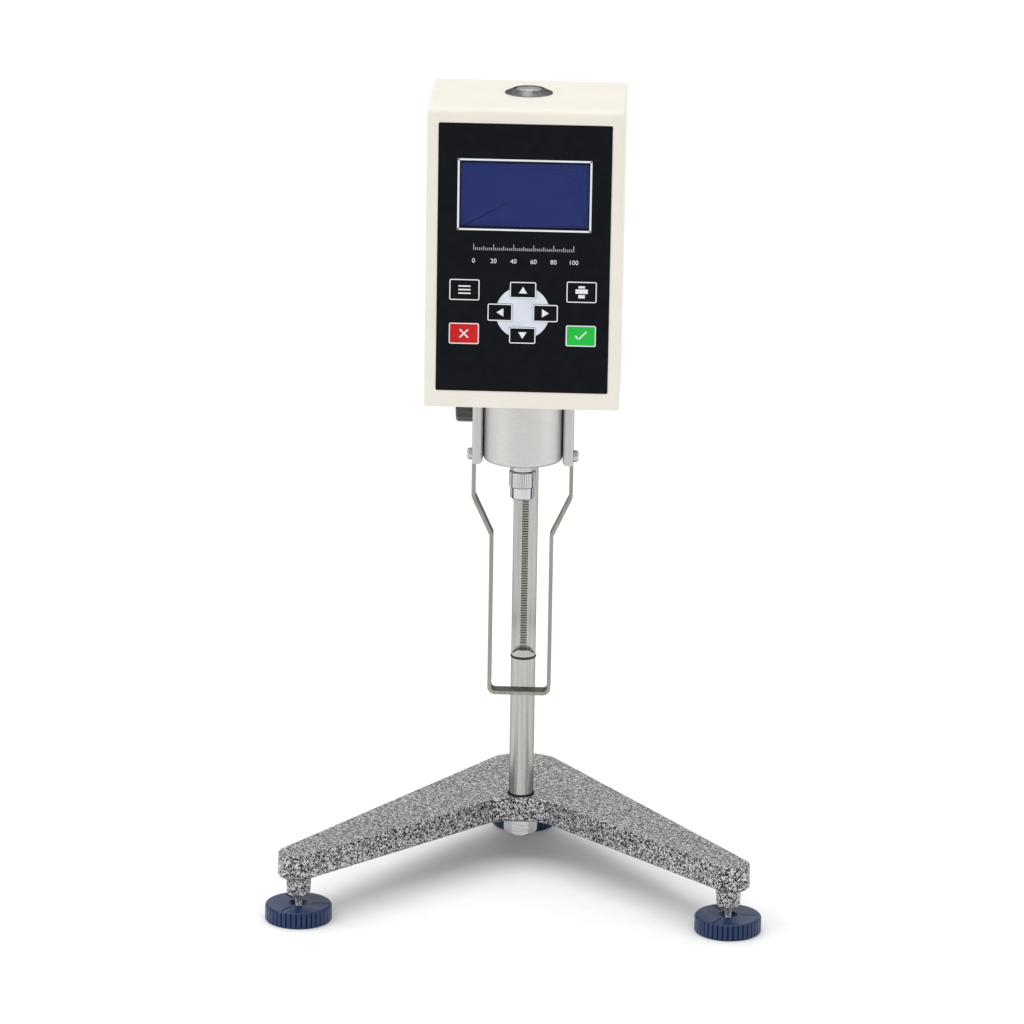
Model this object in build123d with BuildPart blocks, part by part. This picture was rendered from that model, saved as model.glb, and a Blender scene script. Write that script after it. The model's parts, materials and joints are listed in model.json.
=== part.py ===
from build123d import *
from math import acos, atan2, cos, hypot, pi, radians, sin, sqrt, tan
import os

os.makedirs("parts", exist_ok=True)

# All sizes are in millimetres. X points to the right of somebody facing the display,
# Y points away from them and Z up. The origin lies on the table, under the middle of
# the three feet, so the column stands a little behind it.

# Stand in plan, measured from the column's axis
foot_half_span = 115.7
front_foot_reach = 107.5
rear_foot_reach = 60.0
column_y = (front_foot_reach - rear_foot_reach) / 2

# Base casting
base_under = 24.0
base_thickness = 14.0
base_top = base_under + base_thickness
base_draft = 1.5
base_rear_half_width = 17.0
base_rear_corner_reach = 65.5
base_rear_reach = 72.0
base_crotch_half_width = 14.4
base_crotch_corner_reach = 12.6
base_crotch_reach = 9.6
base_corner_radius = 6.0
leg_end_radius = 10.2
leg_end_shift = 1.5
base_top_round = 1.2
base_under_round = 2.4
boss_height = 9.8
boss_top_radius = 7.0
boss_tip_radius = 6.3
boss_chamfer = 0.6

# Levelling feet
foot_knob_radius = 18.0
foot_knob_height = 9.0
foot_knob_round = 1.4
foot_knob_lobes = 40
foot_knob_groove_depth = 0.8
foot_knob_well_radius = 5.3
foot_knob_well_floor = 3.2
foot_knob_well_depth = 1.6
foot_slot_width = 0.9
foot_slot_depth = 1.1
foot_slot_inner = 7.0
foot_slot_outer = 16.4
foot_screw_radius = 2.0
foot_screw_length = 27.0
foot_screw_seat = 2.2
foot_screw_lift = 5.0
thread_clearance = 0.05
seat_gap = 0.3
groove_overrun = 0.3

# Column with its rack, stop ring, foot washer, nut and cap
column_radius = 6.75
column_height = 361.2
foot_washer_thickness = 0.8
foot_washer_radius = 7.4
spigot_radius = 5.0
nut_across_flats = 16.0
nut_height = 8.2
nut_chamfer_angle = 50.0
spigot_stub = 1.2
flat_offset = 2.2
flat_end = 123.0
flat_end_half_width = 3.0
flat_shoulder_half_width = 5.7
flat_shoulder_drop = 2.2
stop_ring_section = 0.75
stop_ring_sink = 0.3
stop_ring_height = 118.3
cap_radius = 9.5
cap_height = 5.0
cap_spigot_radius = 2.5
cap_spigot_length = 8.0
cap_round = 1.5

# Rack and pinion
tooth_module = 0.45
pressure_angle = radians(20)
pinion_teeth = 18
backlash = 0.05
rack_width = 3.4
rack_groove = 2.0
rack_proud = 0.3
rack_top_margin = 12.0
rack_side_gap = 0.02
pinion_face = 3.1
pinion_shaft_radius = 3.0
pinion_height = 268.0

# Lift carriage
block_half_width = 19.0
block_front_reach = 26.0
block_rear_reach = 17.0
block_bottom = 235.0
block_height = 81.0
block_corner = 5.0
block_edge = 1.2
guide_radius = 8.5
guide_bush_length = 12.0
guide_bush_inset = 1.0
slide_clearance = 0.05
pinion_bush_radius = 4.5
pinion_bush_length = 8.0
pinion_pocket_gap = 0.7
lift_knob_radius = 15.0
lift_knob_width = 15.0
lift_knob_gap = 4.5
lift_knob_round = 1.8
lift_knob_flutes = 20
lift_knob_flute_radius = 1.3
tension_nut_radius = 6.5
tension_nut_width = 4.5
shaft_stub = 1.0
rod_radius = 6.0
rod_height = 304.0
rod_grip = 16.0
rod_bore_gap = 0.05
rod_end_gap = 0.3
clamp_screw_radius = 2.5
clamp_screw_length = 10.0
clamp_screw_socket = 1.3

# Head case
head_width = 102.4
head_depth = 77.0
head_bottom = 288.0
head_height = 159.6
head_setback = 111.5
case_wall = 2.5
case_front_wall = 3.0
case_brow_radius = 4.0
case_edge_radius = 1.3
cover_thickness = 2.5
cover_gap = 0.25
cover_block = 9.0
cover_block_depth = 12.0
cover_screw_radius = 1.5
cover_screw_head_radius = 2.9
cover_screw_head_height = 1.6
cover_screw_length = 10.0

# Front panel, display and keys
panel_width = 89.8
panel_height = 142.4
panel_centre = 368.5
panel_thickness = 1.0
panel_proud = 0.3
panel_corner = 0.8
panel_gap = 0.1
window_width = 66.4
window_height = 33.9
window_centre = 402.25
window_thickness = 0.9
display_glass_width = 71.0
display_glass_height = 39.0
display_bezel_width = 80.0
display_bezel_height = 50.0
display_bezel_depth = 4.0
display_board_width = 92.0
display_board_height = 56.0
board_thickness = 1.6
key_thickness = 2.0
key_proud = 0.25
key_corner = 0.9
key_gap = 0.15
key_travel = 0.4
key_stem_radius = 1.8
key_stem_length = 2.2
switch_size = 6.0
switch_height = 3.5
key_board_width = 86.0
key_board_height = 44.0
pad_centre = 339.9
pad_rise = 12.15
pad_reach = 11.85
side_key_x = 30.5
upper_key_z = 351.6
lower_key_z = 328.15
side_key_width = 15.7
side_key_height = 11.2
upright_key_width = 13.7
upright_key_height = 8.65
level_key_width = 12.9
level_key_height = 9.2

# Spindle drive and housing
spindle_setback = 43.9
housing_radius = 21.2
housing_wall = 2.4
housing_rim = 249.5
housing_rim_round = 2.0
housing_cone_drop = 2.2
neck_radius = 6.9
neck_bottom = 243.1
housing_hole_gap = 0.3
bearing_radius = 4.0
bearing_length = 7.0
spindle_radius = 2.0
running_clearance = 0.04
sleeve_radius = 7.15
sleeve_top_gap = 0.3
sleeve_length = 8.8
sleeve_knurls = 40
sleeve_knurl_depth = 0.35
sleeve_chamfer = 0.5
connector_radius = 6.4
connector_length = 6.6
connector_chamfer = 0.9
connector_bore_radius = 1.25
connector_bore_length = 5.0
disc_radius = 15.0
disc_thickness = 1.0
disc_slot_width = 1.2
disc_slot_length = 4.0
lower_disc_height = 268.0
spring_height = 276.0
spring_strip = 2.2
spring_leaf = 0.35
spring_inner_radius = 3.6
spring_pitch = 1.5
spring_half_turns = 10
collet_radius = 3.3
collet_length = 6.0
pivot_gap = 0.4
upper_disc_height = 285.0
stud_radius = 0.8
sensor_width = 6.0
sensor_height = 8.0
sensor_slot = 3.0
sensor_gap = 0.1
sensor_stud_gap = 0.4
sensor_rim_gap = 1.0

# Chassis, motor and boards
chassis_half_width = 44.0
chassis_front_gap = 6.0
chassis_rear_gap = 6.0
chassis_thickness = 5.0
bracket_half_width = 15.0
bracket_depth = 12.0
bracket_shoulder = 6.0
pillar_radius = 3.0
pillar_height = 22.0
pillar_circle = 19.0
motor_radius = 23.0
motor_height = 16.0
gearbox_radius = 17.0
gearbox_height = 9.0
motor_boss_radius = 6.0
motor_boss_height = 4.0
main_board_height = 96.0
main_board_depth = 50.0
main_board_bottom = 338.0
main_board_gap = 0.3
chip_height = 3.0

# Guard posts, strap and screws
post_inner = 21.3
post_outer = 27.0
post_depth = 12.0
post_bottom = 247.2
post_round = 1.6
post_toe_radius = 2.4
strap_thickness = 1.9
strap_width = 9.0
strap_gap = 0.05
strap_top = 262.0
strap_upper_knee = 228.9
strap_lower_knee = 207.5
strap_half_width = 17.0
strap_bottom = 118.3
strap_knee_radius = 3.0
strap_corner_radius = 3.2
strap_edge_round = 0.6
guard_screw_height = 251.3
guard_screw_radius = 2.0
guard_screw_head_radius = 3.2
guard_screw_head_height = 2.7
guard_screw_length = 4.6

# Bubble level
level_flange_radius = 12.5
level_height = 2.4
level_rim_radius = 8.2
level_glass_radius = 7.3
level_body_radius = 9.6
level_body_depth = 8.0
level_flange_edge = 0.5
level_glass_drop = 0.3

# Rear sockets and switch
switch_x = 30.0
switch_z = 322.0
switch_flange_width = 15.0
switch_flange_height = 21.0
switch_flange_depth = 1.6
switch_body_width = 12.6
switch_body_height = 18.8
switch_body_depth = 12.0
rocker_width = 9.4
rocker_radius = 7.0
rocker_gap = 0.3
rocker_tilt = 9.0
rocker_sink = 4.2
inlet_x = 30.0
inlet_z = 301.0
inlet_radius = 4.0
inlet_nut_flats = 11.0
inlet_nut_height = 2.0
inlet_bore_radius = 2.85
inlet_bore_depth = 9.0
inlet_pin_radius = 1.0
inlet_length = 12.0
port_x = -29.0
port_z = 316.0
port_flange_width = 30.8
port_flange_height = 12.5
port_flange_thickness = 1.0
port_shell_width = 16.9
port_shell_height = 8.4
port_shell_length = 5.2
port_body_width = 19.0
port_body_height = 10.6
port_body_depth = 9.0
port_screw_spacing = 25.0
port_screw_flats = 4.8
port_screw_length = 3.5

# Places that follow from the sizes above
head_front = column_y - head_setback
head_back = head_front + head_depth
head_top = head_bottom + head_height
head_middle_y = head_front + head_depth / 2
spindle_y = head_front + spindle_setback
panel_face = head_front - panel_proud
recess_floor = panel_face + panel_thickness
cover_face = head_back - cover_thickness
chassis_bottom = head_bottom + case_wall
chassis_top = chassis_bottom + chassis_thickness
column_foot = base_top + foot_washer_thickness
column_top = column_foot + column_height
rack_top = column_top - rack_top_margin
flat_y = column_y - flat_offset
rack_tip_y = flat_y - rack_proud
pitch_radius = tooth_module * pinion_teeth / 2
pinion_y = rack_tip_y + tooth_module - pitch_radius
tooth_pitch = pi * tooth_module
block_front = column_y - block_front_reach
block_top = block_bottom + block_height
bracket_front = head_back - cover_thickness - seat_gap - bracket_depth

# Feet, named by where they stand
feet = {
    "left": (-foot_half_span, column_y - front_foot_reach),
    "right": (foot_half_span, column_y - front_foot_reach),
    "rear": (0, column_y + rear_foot_reach),
}

# Keys: sideways place, height, width and height of each cap
keys = {
    "key_menu": (-side_key_x, upper_key_z, side_key_width, side_key_height),
    "key_print": (side_key_x, upper_key_z, side_key_width, side_key_height),
    "key_quit": (-side_key_x, lower_key_z, side_key_width, side_key_height),
    "key_enter": (side_key_x, lower_key_z, side_key_width, side_key_height),
    "key_up": (0, pad_centre + pad_rise, upright_key_width, upright_key_height),
    "key_down": (0, pad_centre - pad_rise, upright_key_width, upright_key_height),
    "key_left": (-pad_reach, pad_centre, level_key_width, level_key_height),
    "key_right": (pad_reach, pad_centre, level_key_width, level_key_height),
}


def write(piece, name):
    """Label the finished piece and write its STEP file."""
    piece.part.label = name
    export_step(piece.part, f"parts/{name}.step")


def facing(y):
    """Upright plane at depth y, seen from the front: its x is X and its y is Z."""
    return Plane.XZ.offset(-y)


def sideways(x):
    """Upright plane at x, seen from the right: its x is Y and its y is Z."""
    return Plane.YZ.offset(x)


def on_circle(centre, radius, angle):
    """Point of a circle at an angle in radians."""
    return (centre[0] + radius * cos(angle), centre[1] + radius * sin(angle))


def tangent_angle(outside, centre, radius, side):
    """Angle at which the line from an outside point touches a circle, on the side +1 or -1."""
    across = centre[0] - outside[0]
    along = centre[1] - outside[1]
    return atan2(-along, -across) + side * acos(radius / hypot(across, along))


def turned(y, profile):
    """Solid of revolution about the vertical axis at (0, y) from a closed list of (radius, height)."""
    with BuildPart() as solid:
        with BuildSketch(facing(y)):
            with BuildLine():
                Polyline(*profile, close=True)
            make_face()
        revolve(axis=Axis((0, y, 0), (0, 0, 1)))
    return solid.part


# Base casting: a flat V with two long tapering legs, a rounded heel and three foot bosses
leg_end = (foot_half_span + leg_end_shift * cos(radians(33)), -front_foot_reach + leg_end_shift * sin(radians(33)))
heel = (base_rear_half_width, base_rear_corner_reach)
crotch = (base_crotch_half_width, -base_crotch_corner_reach)
heel_touch = tangent_angle(heel, leg_end, leg_end_radius, -1)
crotch_touch = tangent_angle(crotch, leg_end, leg_end_radius, 1) - 2 * pi
toe_angle = (heel_touch + crotch_touch) / 2

with BuildPart() as base_casting:
    with BuildSketch(Plane((0, column_y, base_under))) as outline:
        with BuildLine():
            inner_line = Line(crotch, on_circle(leg_end, leg_end_radius, crotch_touch))
            toe_line = ThreePointArc(
                inner_line @ 1,
                on_circle(leg_end, leg_end_radius, toe_angle),
                on_circle(leg_end, leg_end_radius, heel_touch),
            )
            Line(toe_line @ 1, heel)
            mirror(about=Plane.YZ)
            ThreePointArc(heel, (0, base_rear_reach), (-heel[0], heel[1]))
            ThreePointArc((-crotch[0], crotch[1]), (0, -base_crotch_reach), crotch)
        make_face()
        hub_corners = outline.vertices().filter_by(lambda v: abs(v.X) < base_rear_half_width + 1)
        fillet(hub_corners, base_corner_radius)
    extrude(amount=base_thickness, taper=base_draft)
    fillet(base_casting.faces().sort_by(Axis.Z)[-1].edges(), base_top_round)
    fillet(base_casting.faces().sort_by(Axis.Z)[0].edges(), base_under_round)
    for foot_x, foot_y in feet.values():
        with Locations((foot_x, foot_y, base_under - boss_height)):
            Cone(boss_tip_radius - boss_chamfer, boss_tip_radius, boss_chamfer,
                 align=(Align.CENTER, Align.CENTER, Align.MIN))
        with Locations((foot_x, foot_y, base_under - boss_height + boss_chamfer)):
            Cone(boss_tip_radius, boss_top_radius, boss_height + base_under_round - boss_chamfer,
                 align=(Align.CENTER, Align.CENTER, Align.MIN))
    for foot_x, foot_y in feet.values():
        with Locations((foot_x, foot_y, base_under - boss_height)):
            Cylinder(foot_screw_radius + thread_clearance,
                     foot_screw_seat + foot_screw_length + foot_screw_lift - base_under + boss_height,
                     align=(Align.CENTER, Align.CENTER, Align.MIN), mode=Mode.SUBTRACT)
    with Locations((0, column_y, base_under)):
        Cylinder(spigot_radius + thread_clearance, base_thickness,
                 align=(Align.CENTER, Align.CENTER, Align.MIN), mode=Mode.SUBTRACT)
write(base_casting, "base_casting")

# Levelling feet: a steel screw in a serrated plastic knob with three radial slots
groove_half_width = pi * foot_knob_radius / foot_knob_lobes / 2
for side, (foot_x, foot_y) in feet.items():
    with BuildPart() as foot_screw:
        with Locations((foot_x, foot_y, foot_screw_seat)):
            Cylinder(foot_screw_radius, foot_screw_length, align=(Align.CENTER, Align.CENTER, Align.MIN))
    write(foot_screw, f"levelling_screw_{side}")

    with BuildPart() as foot_knob:
        with Locations((foot_x, foot_y, 0)):
            Cylinder(foot_knob_radius, foot_knob_height, align=(Align.CENTER, Align.CENTER, Align.MIN))
        fillet(foot_knob.edges().group_by(Axis.Z)[-1], foot_knob_round)
        chamfer(foot_knob.edges().group_by(Axis.Z)[0], foot_knob_round / 2)
        with BuildSketch(Plane((foot_x, foot_y, 0))):
            with PolarLocations(foot_knob_radius, foot_knob_lobes):
                Polygon((groove_overrun, -groove_half_width), (groove_overrun, groove_half_width),
                        (-foot_knob_groove_depth, 0), align=None)
        extrude(amount=foot_knob_height, mode=Mode.SUBTRACT)
        with Locations((foot_x, foot_y, foot_knob_height)):
            Cone(foot_knob_well_floor, foot_knob_well_radius, foot_knob_well_depth,
                 align=(Align.CENTER, Align.CENTER, Align.MAX), mode=Mode.SUBTRACT)
        with Locations((foot_x, foot_y, foot_screw_seat - seat_gap)):
            Cylinder(foot_screw_radius + thread_clearance, foot_knob_height,
                     align=(Align.CENTER, Align.CENTER, Align.MIN), mode=Mode.SUBTRACT)
        with BuildSketch(Plane((foot_x, foot_y, foot_knob_height))):
            with PolarLocations((foot_slot_inner + foot_slot_outer) / 2, 3):
                Rectangle(foot_slot_outer - foot_slot_inner, foot_slot_width)
        extrude(amount=-foot_slot_depth, mode=Mode.SUBTRACT)
    write(foot_knob, f"levelling_knob_{side}")

# Column: a round bar with a threaded spigot, a milled front flat and a groove for the rack
spigot_length = column_foot - base_under + nut_height + spigot_stub
with BuildPart() as column:
    with Locations((0, column_y, column_foot)):
        Cylinder(column_radius, column_height, align=(Align.CENTER, Align.CENTER, Align.MIN))
        Cylinder(spigot_radius, spigot_length, align=(Align.CENTER, Align.CENTER, Align.MAX))
    with BuildSketch(facing(flat_y)):
        with BuildLine():
            edge = column_radius + 1
            Polyline((-edge, column_top), (-edge, flat_end - flat_shoulder_drop),
                     (-flat_shoulder_half_width, flat_end - flat_shoulder_drop),
                     (-flat_end_half_width, flat_end), (flat_end_half_width, flat_end),
                     (flat_shoulder_half_width, flat_end - flat_shoulder_drop),
                     (edge, flat_end - flat_shoulder_drop), (edge, column_top), close=True)
        make_face()
    extrude(amount=2 * column_radius, mode=Mode.SUBTRACT)
    with BuildSketch(facing(flat_y)):
        with Locations((0, (flat_end + rack_top) / 2)):
            Rectangle(rack_width, rack_top - flat_end)
    extrude(amount=-rack_groove, mode=Mode.SUBTRACT)
    ring_radius = column_radius - stop_ring_sink
    with Locations((0, column_y, stop_ring_height)):
        Torus(ring_radius, stop_ring_section + thread_clearance, mode=Mode.SUBTRACT)
    with Locations((0, column_y, column_top)):
        Cylinder(cap_spigot_radius + thread_clearance, cap_spigot_length + seat_gap,
                 align=(Align.CENTER, Align.CENTER, Align.MAX), mode=Mode.SUBTRACT)
write(column, "column")

with BuildPart() as column_stop_ring:
    with Locations((0, column_y, stop_ring_height)):
        Torus(ring_radius, stop_ring_section)
write(column_stop_ring, "column_stop_ring")

with BuildPart() as column_foot_washer:
    with BuildSketch(Plane((0, column_y, base_top))):
        Circle(foot_washer_radius)
        Circle(spigot_radius + thread_clearance, mode=Mode.SUBTRACT)
    extrude(amount=foot_washer_thickness)
write(column_foot_washer, "column_foot_washer")

with BuildPart() as column_nut:
    with BuildSketch(Plane((0, column_y, base_under))):
        RegularPolygon(nut_across_flats / 2, 6, major_radius=False)
        Circle(spigot_radius + thread_clearance, mode=Mode.SUBTRACT)
    extrude(amount=-nut_height)
    with BuildSketch(Plane((0, column_y, base_under - nut_height))):
        Circle(nut_across_flats / 2)
    extrude(amount=nut_height, taper=-nut_chamfer_angle, mode=Mode.INTERSECT)
write(column_nut, "column_nut")

with BuildPart() as column_cap:
    with Locations((0, column_y, column_top)):
        Cylinder(cap_radius, cap_height, align=(Align.CENTER, Align.CENTER, Align.MIN))
    fillet(column_cap.edges().group_by(Axis.Z)[-1], cap_round)
    with Locations((0, column_y, column_top)):
        Cylinder(cap_spigot_radius, cap_spigot_length, align=(Align.CENTER, Align.CENTER, Align.MAX))
write(column_cap, "column_cap")

# Rack: straight-flanked teeth that point to the front, one gap centred on the pinion's height
tip_half = tooth_pitch / 4 - tooth_module * tan(pressure_angle) - backlash / 2
root_half = tooth_pitch / 4 + 1.25 * tooth_module * tan(pressure_angle) - backlash / 2
root_y = rack_tip_y + 2.25 * tooth_module
first_tooth = -int((pinion_height - flat_end) / tooth_pitch - 1)
last_tooth = int((rack_top - pinion_height) / tooth_pitch - 1)
rack_profile = [(flat_y + rack_groove, flat_end), (root_y, flat_end)]
for index in range(first_tooth, last_tooth):
    tooth_height = pinion_height + (index + 0.5) * tooth_pitch
    rack_profile.append((root_y, tooth_height - root_half))
    rack_profile.append((rack_tip_y, tooth_height - tip_half))
    rack_profile.append((rack_tip_y, tooth_height + tip_half))
    rack_profile.append((root_y, tooth_height + root_half))
rack_profile.append((root_y, rack_top))
rack_profile.append((flat_y + rack_groove, rack_top))
with BuildPart() as column_rack:
    with BuildSketch(sideways(0)):
        with BuildLine():
            Polyline(*rack_profile, close=True)
        make_face()
    extrude(amount=rack_width / 2 - rack_side_gap, both=True)
write(column_rack, "column_rack")


def involute(angle):
    """Involute function of a pressure angle."""
    return tan(angle) - angle


# Pinion: involute teeth on a plain shaft, one tooth pointing straight into the rack
base_radius = pitch_radius * cos(pressure_angle)
tip_radius = pitch_radius + tooth_module
root_radius = pitch_radius - 1.25 * tooth_module
half_at_pitch = pi / (2 * pinion_teeth) - backlash / (2 * pitch_radius)
half_at_base = half_at_pitch + involute(pressure_angle)
flank = [(root_radius, half_at_base)]
for step in range(5):
    radius = base_radius + (tip_radius - base_radius) * step / 4
    flank.append((radius, half_at_base - involute(acos(min(1.0, base_radius / radius)))))
pinion_profile = []
for tooth in range(pinion_teeth):
    middle = 2 * pi * tooth / pinion_teeth
    for radius, half in flank:
        pinion_profile.append(on_circle((pinion_y, pinion_height), radius, middle - half))
    for radius, half in reversed(flank):
        pinion_profile.append(on_circle((pinion_y, pinion_height), radius, middle + half))
knob_inner = -block_half_width - lift_knob_gap
knob_outer = knob_inner - lift_knob_width
shaft_right = block_half_width + seat_gap + tension_nut_width + shaft_stub
with BuildPart() as pinion_shaft:
    with BuildSketch(sideways(0)):
        with BuildLine():
            Polyline(*pinion_profile, close=True)
        make_face()
    extrude(amount=pinion_face / 2, both=True)
    with BuildSketch(sideways(knob_inner - lift_knob_width / 2)):
        with Locations((pinion_y, pinion_height)):
            Circle(pinion_shaft_radius)
    extrude(amount=shaft_right - knob_inner + lift_knob_width / 2)
write(pinion_shaft, "pinion_shaft")

with BuildPart() as lift_knob:
    with BuildSketch(sideways(knob_inner)):
        with Locations((pinion_y, pinion_height)):
            Circle(lift_knob_radius)
    extrude(amount=-lift_knob_width)
    fillet(lift_knob.edges().group_by(Axis.X)[0], lift_knob_round)
    fillet(lift_knob.edges().group_by(Axis.X)[-1], lift_knob_round / 2)
    with BuildSketch(sideways(knob_outer)):
        with Locations((pinion_y, pinion_height)):
            with PolarLocations(lift_knob_radius + lift_knob_flute_radius * 0.6, lift_knob_flutes):
                Circle(lift_knob_flute_radius)
    extrude(amount=lift_knob_width, mode=Mode.SUBTRACT)
    with BuildSketch(sideways(knob_inner)):
        with Locations((pinion_y, pinion_height)):
            Circle(pinion_shaft_radius + thread_clearance)
    extrude(amount=-lift_knob_width / 2 - seat_gap, mode=Mode.SUBTRACT)
write(lift_knob, "lift_knob")

with BuildPart() as tension_nut:
    with BuildSketch(sideways(block_half_width + seat_gap)):
        with Locations((pinion_y, pinion_height)):
            RegularPolygon(tension_nut_radius, 6)
            Circle(pinion_shaft_radius + thread_clearance, mode=Mode.SUBTRACT)
    extrude(amount=tension_nut_width)
write(tension_nut, "tension_nut")

# Lift block: bored for the column, the pinion shaft and the head's rod
with BuildPart() as lift_block:
    with BuildSketch(Plane.XY.offset(block_bottom)):
        with Locations((0, column_y + (block_rear_reach - block_front_reach) / 2)):
            RectangleRounded(2 * block_half_width, block_front_reach + block_rear_reach, block_corner)
    extrude(amount=block_height)
    chamfer(lift_block.faces().filter_by(Axis.Z).edges(), block_edge)
    with Locations((0, column_y, block_bottom)):
        Cylinder(guide_radius, block_height, align=(Align.CENTER, Align.CENTER, Align.MIN), mode=Mode.SUBTRACT)
    with BuildSketch(sideways(0)):
        with Locations((pinion_y, pinion_height)):
            Circle(pinion_bush_radius)
    extrude(amount=block_half_width, both=True, mode=Mode.SUBTRACT)
    with BuildSketch(sideways(0)):
        with Locations((pinion_y, pinion_height)):
            Circle(tip_radius + pinion_pocket_gap)
    extrude(amount=pinion_face / 2 + pinion_pocket_gap, both=True, mode=Mode.SUBTRACT)
    with BuildSketch(facing(block_front)):
        with Locations((0, rod_height)):
            Circle(rod_radius + rod_bore_gap)
    extrude(amount=-rod_grip, mode=Mode.SUBTRACT)
    with BuildSketch(sideways(block_half_width)):
        with Locations((block_front + rod_grip / 2, rod_height)):
            Circle(clamp_screw_radius + thread_clearance)
    extrude(amount=-block_half_width, mode=Mode.SUBTRACT)
write(lift_block, "lift_block")

# Bushes: two long ones guide the block on the column, two short ones carry the pinion shaft
with BuildPart() as lift_bushes:
    for bush_bottom in (block_bottom + guide_bush_inset, block_top - guide_bush_inset - guide_bush_length):
        with BuildSketch(Plane((0, column_y, bush_bottom))):
            Circle(guide_radius)
            Circle(column_radius + slide_clearance, mode=Mode.SUBTRACT)
        extrude(amount=guide_bush_length)
    for outer_end, inward in ((block_half_width, -1), (-block_half_width, 1)):
        with BuildSketch(sideways(outer_end)):
            with Locations((pinion_y, pinion_height)):
                Circle(pinion_bush_radius)
                Circle(pinion_shaft_radius + slide_clearance, mode=Mode.SUBTRACT)
        extrude(amount=inward * pinion_bush_length)
write(lift_bushes, "lift_bushes")

with BuildPart() as rod_clamp_screw:
    with BuildSketch(sideways(rod_radius + rod_bore_gap)):
        with Locations((block_front + rod_grip / 2, rod_height)):
            Circle(clamp_screw_radius)
    extrude(amount=clamp_screw_length)
    with BuildSketch(sideways(rod_radius + rod_bore_gap + clamp_screw_length)):
        with Locations((block_front + rod_grip / 2, rod_height)):
            RegularPolygon(clamp_screw_socket, 6)
    extrude(amount=-clamp_screw_length / 2, mode=Mode.SUBTRACT)
write(rod_clamp_screw, "rod_clamp_screw")

with BuildPart() as head_rod:
    with BuildSketch(facing(bracket_front)):
        with Locations((0, rod_height)):
            Circle(rod_radius)
    extrude(amount=-(block_front + rod_grip - rod_end_gap - bracket_front))
    chamfer(head_rod.edges().group_by(Axis.Y)[-1], 1)
write(head_rod, "head_rod")

# Head case: one moulded shell with a soft brow, open at the back
inner_width = head_width - 2 * case_wall
with BuildPart() as head_shell:
    with BuildSketch(Plane.XY.offset(head_bottom)):
        with Locations((0, head_middle_y)):
            Rectangle(head_width, head_depth)
    extrude(amount=head_height)
    brow = head_shell.edges().filter_by(Axis.X).group_by(Axis.Z)[-1].sort_by(Axis.Y)[0]
    fillet(brow, case_brow_radius)
    rims = head_shell.faces().sort_by(Axis.X)[0].edges() + head_shell.faces().sort_by(Axis.X)[-1].edges()
    sills = head_shell.edges().filter_by(Axis.X).group_by(Axis.Z)[0]
    fillet(rims + sills, case_edge_radius)
    with Locations((0, head_front + case_front_wall, head_bottom + case_wall)):
        Box(inner_width, head_depth, head_height - 2 * case_wall,
            align=(Align.CENTER, Align.MIN, Align.MIN), mode=Mode.SUBTRACT)
    block_x = inner_width / 2 - cover_block / 2
    block_low = head_bottom + case_wall + cover_block / 2
    block_high = head_top - case_wall - cover_block / 2
    cover_corners = [(-block_x, block_low), (block_x, block_low), (-block_x, block_high), (block_x, block_high)]
    with BuildSketch(facing(cover_face)):
        with Locations(*cover_corners):
            Rectangle(cover_block, cover_block)
            Circle(cover_screw_radius + thread_clearance, mode=Mode.SUBTRACT)
    extrude(amount=cover_block_depth)
    with BuildSketch(facing(head_front)):
        with Locations((0, panel_centre)):
            RectangleRounded(panel_width + 2 * panel_gap, panel_height + 2 * panel_gap, panel_corner)
    extrude(amount=-(recess_floor - head_front), mode=Mode.SUBTRACT)
    with BuildSketch(facing(head_front)):
        with Locations((0, window_centre)):
            Rectangle(display_glass_width + 2 * panel_gap, display_glass_height + 2 * panel_gap)
        for key_x, key_z, key_width, key_height in keys.values():
            with Locations((key_x, key_z)):
                RectangleRounded(key_width + 2 * key_gap, key_height + 2 * key_gap, key_corner)
    extrude(amount=-case_front_wall, mode=Mode.SUBTRACT)
    with Locations((0, spindle_y, head_bottom)):
        Cylinder(housing_radius + housing_hole_gap, case_wall,
                 align=(Align.CENTER, Align.CENTER, Align.MIN), mode=Mode.SUBTRACT)
    with BuildSketch(Plane((0, spindle_y, head_bottom))):
        with Locations(((post_inner + post_outer) / 2, 0), (-(post_inner + post_outer) / 2, 0)):
            Rectangle(post_outer - post_inner + 2 * housing_hole_gap, post_depth + 2 * housing_hole_gap)
    extrude(amount=case_wall, mode=Mode.SUBTRACT)
    with Locations((0, spindle_y, head_top)):
        Cylinder(level_body_radius + panel_gap, case_wall,
                 align=(Align.CENTER, Align.CENTER, Align.MAX), mode=Mode.SUBTRACT)
write(head_shell, "head_shell")

# Rear cover: a flat plate let into the back of the shell
with BuildPart() as rear_cover:
    with BuildSketch(facing(head_back)):
        with Locations((0, head_bottom + head_height / 2)):
            Rectangle(inner_width - 2 * cover_gap, head_height - 2 * case_wall - 2 * cover_gap)
        with Locations((0, rod_height)):
            Circle(rod_radius + housing_hole_gap, mode=Mode.SUBTRACT)
        with Locations((switch_x, switch_z)):
            Rectangle(switch_body_width + 2 * panel_gap, switch_body_height + 2 * panel_gap, mode=Mode.SUBTRACT)
        with Locations((inlet_x, inlet_z)):
            Circle(inlet_radius + panel_gap, mode=Mode.SUBTRACT)
        with Locations((port_x, port_z)):
            Rectangle(port_body_width + 2 * panel_gap, port_body_height + 2 * panel_gap, mode=Mode.SUBTRACT)
        with Locations(*cover_corners):
            Circle(cover_screw_radius + panel_gap, mode=Mode.SUBTRACT)
    extrude(amount=cover_thickness)
write(rear_cover, "rear_cover")

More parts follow.
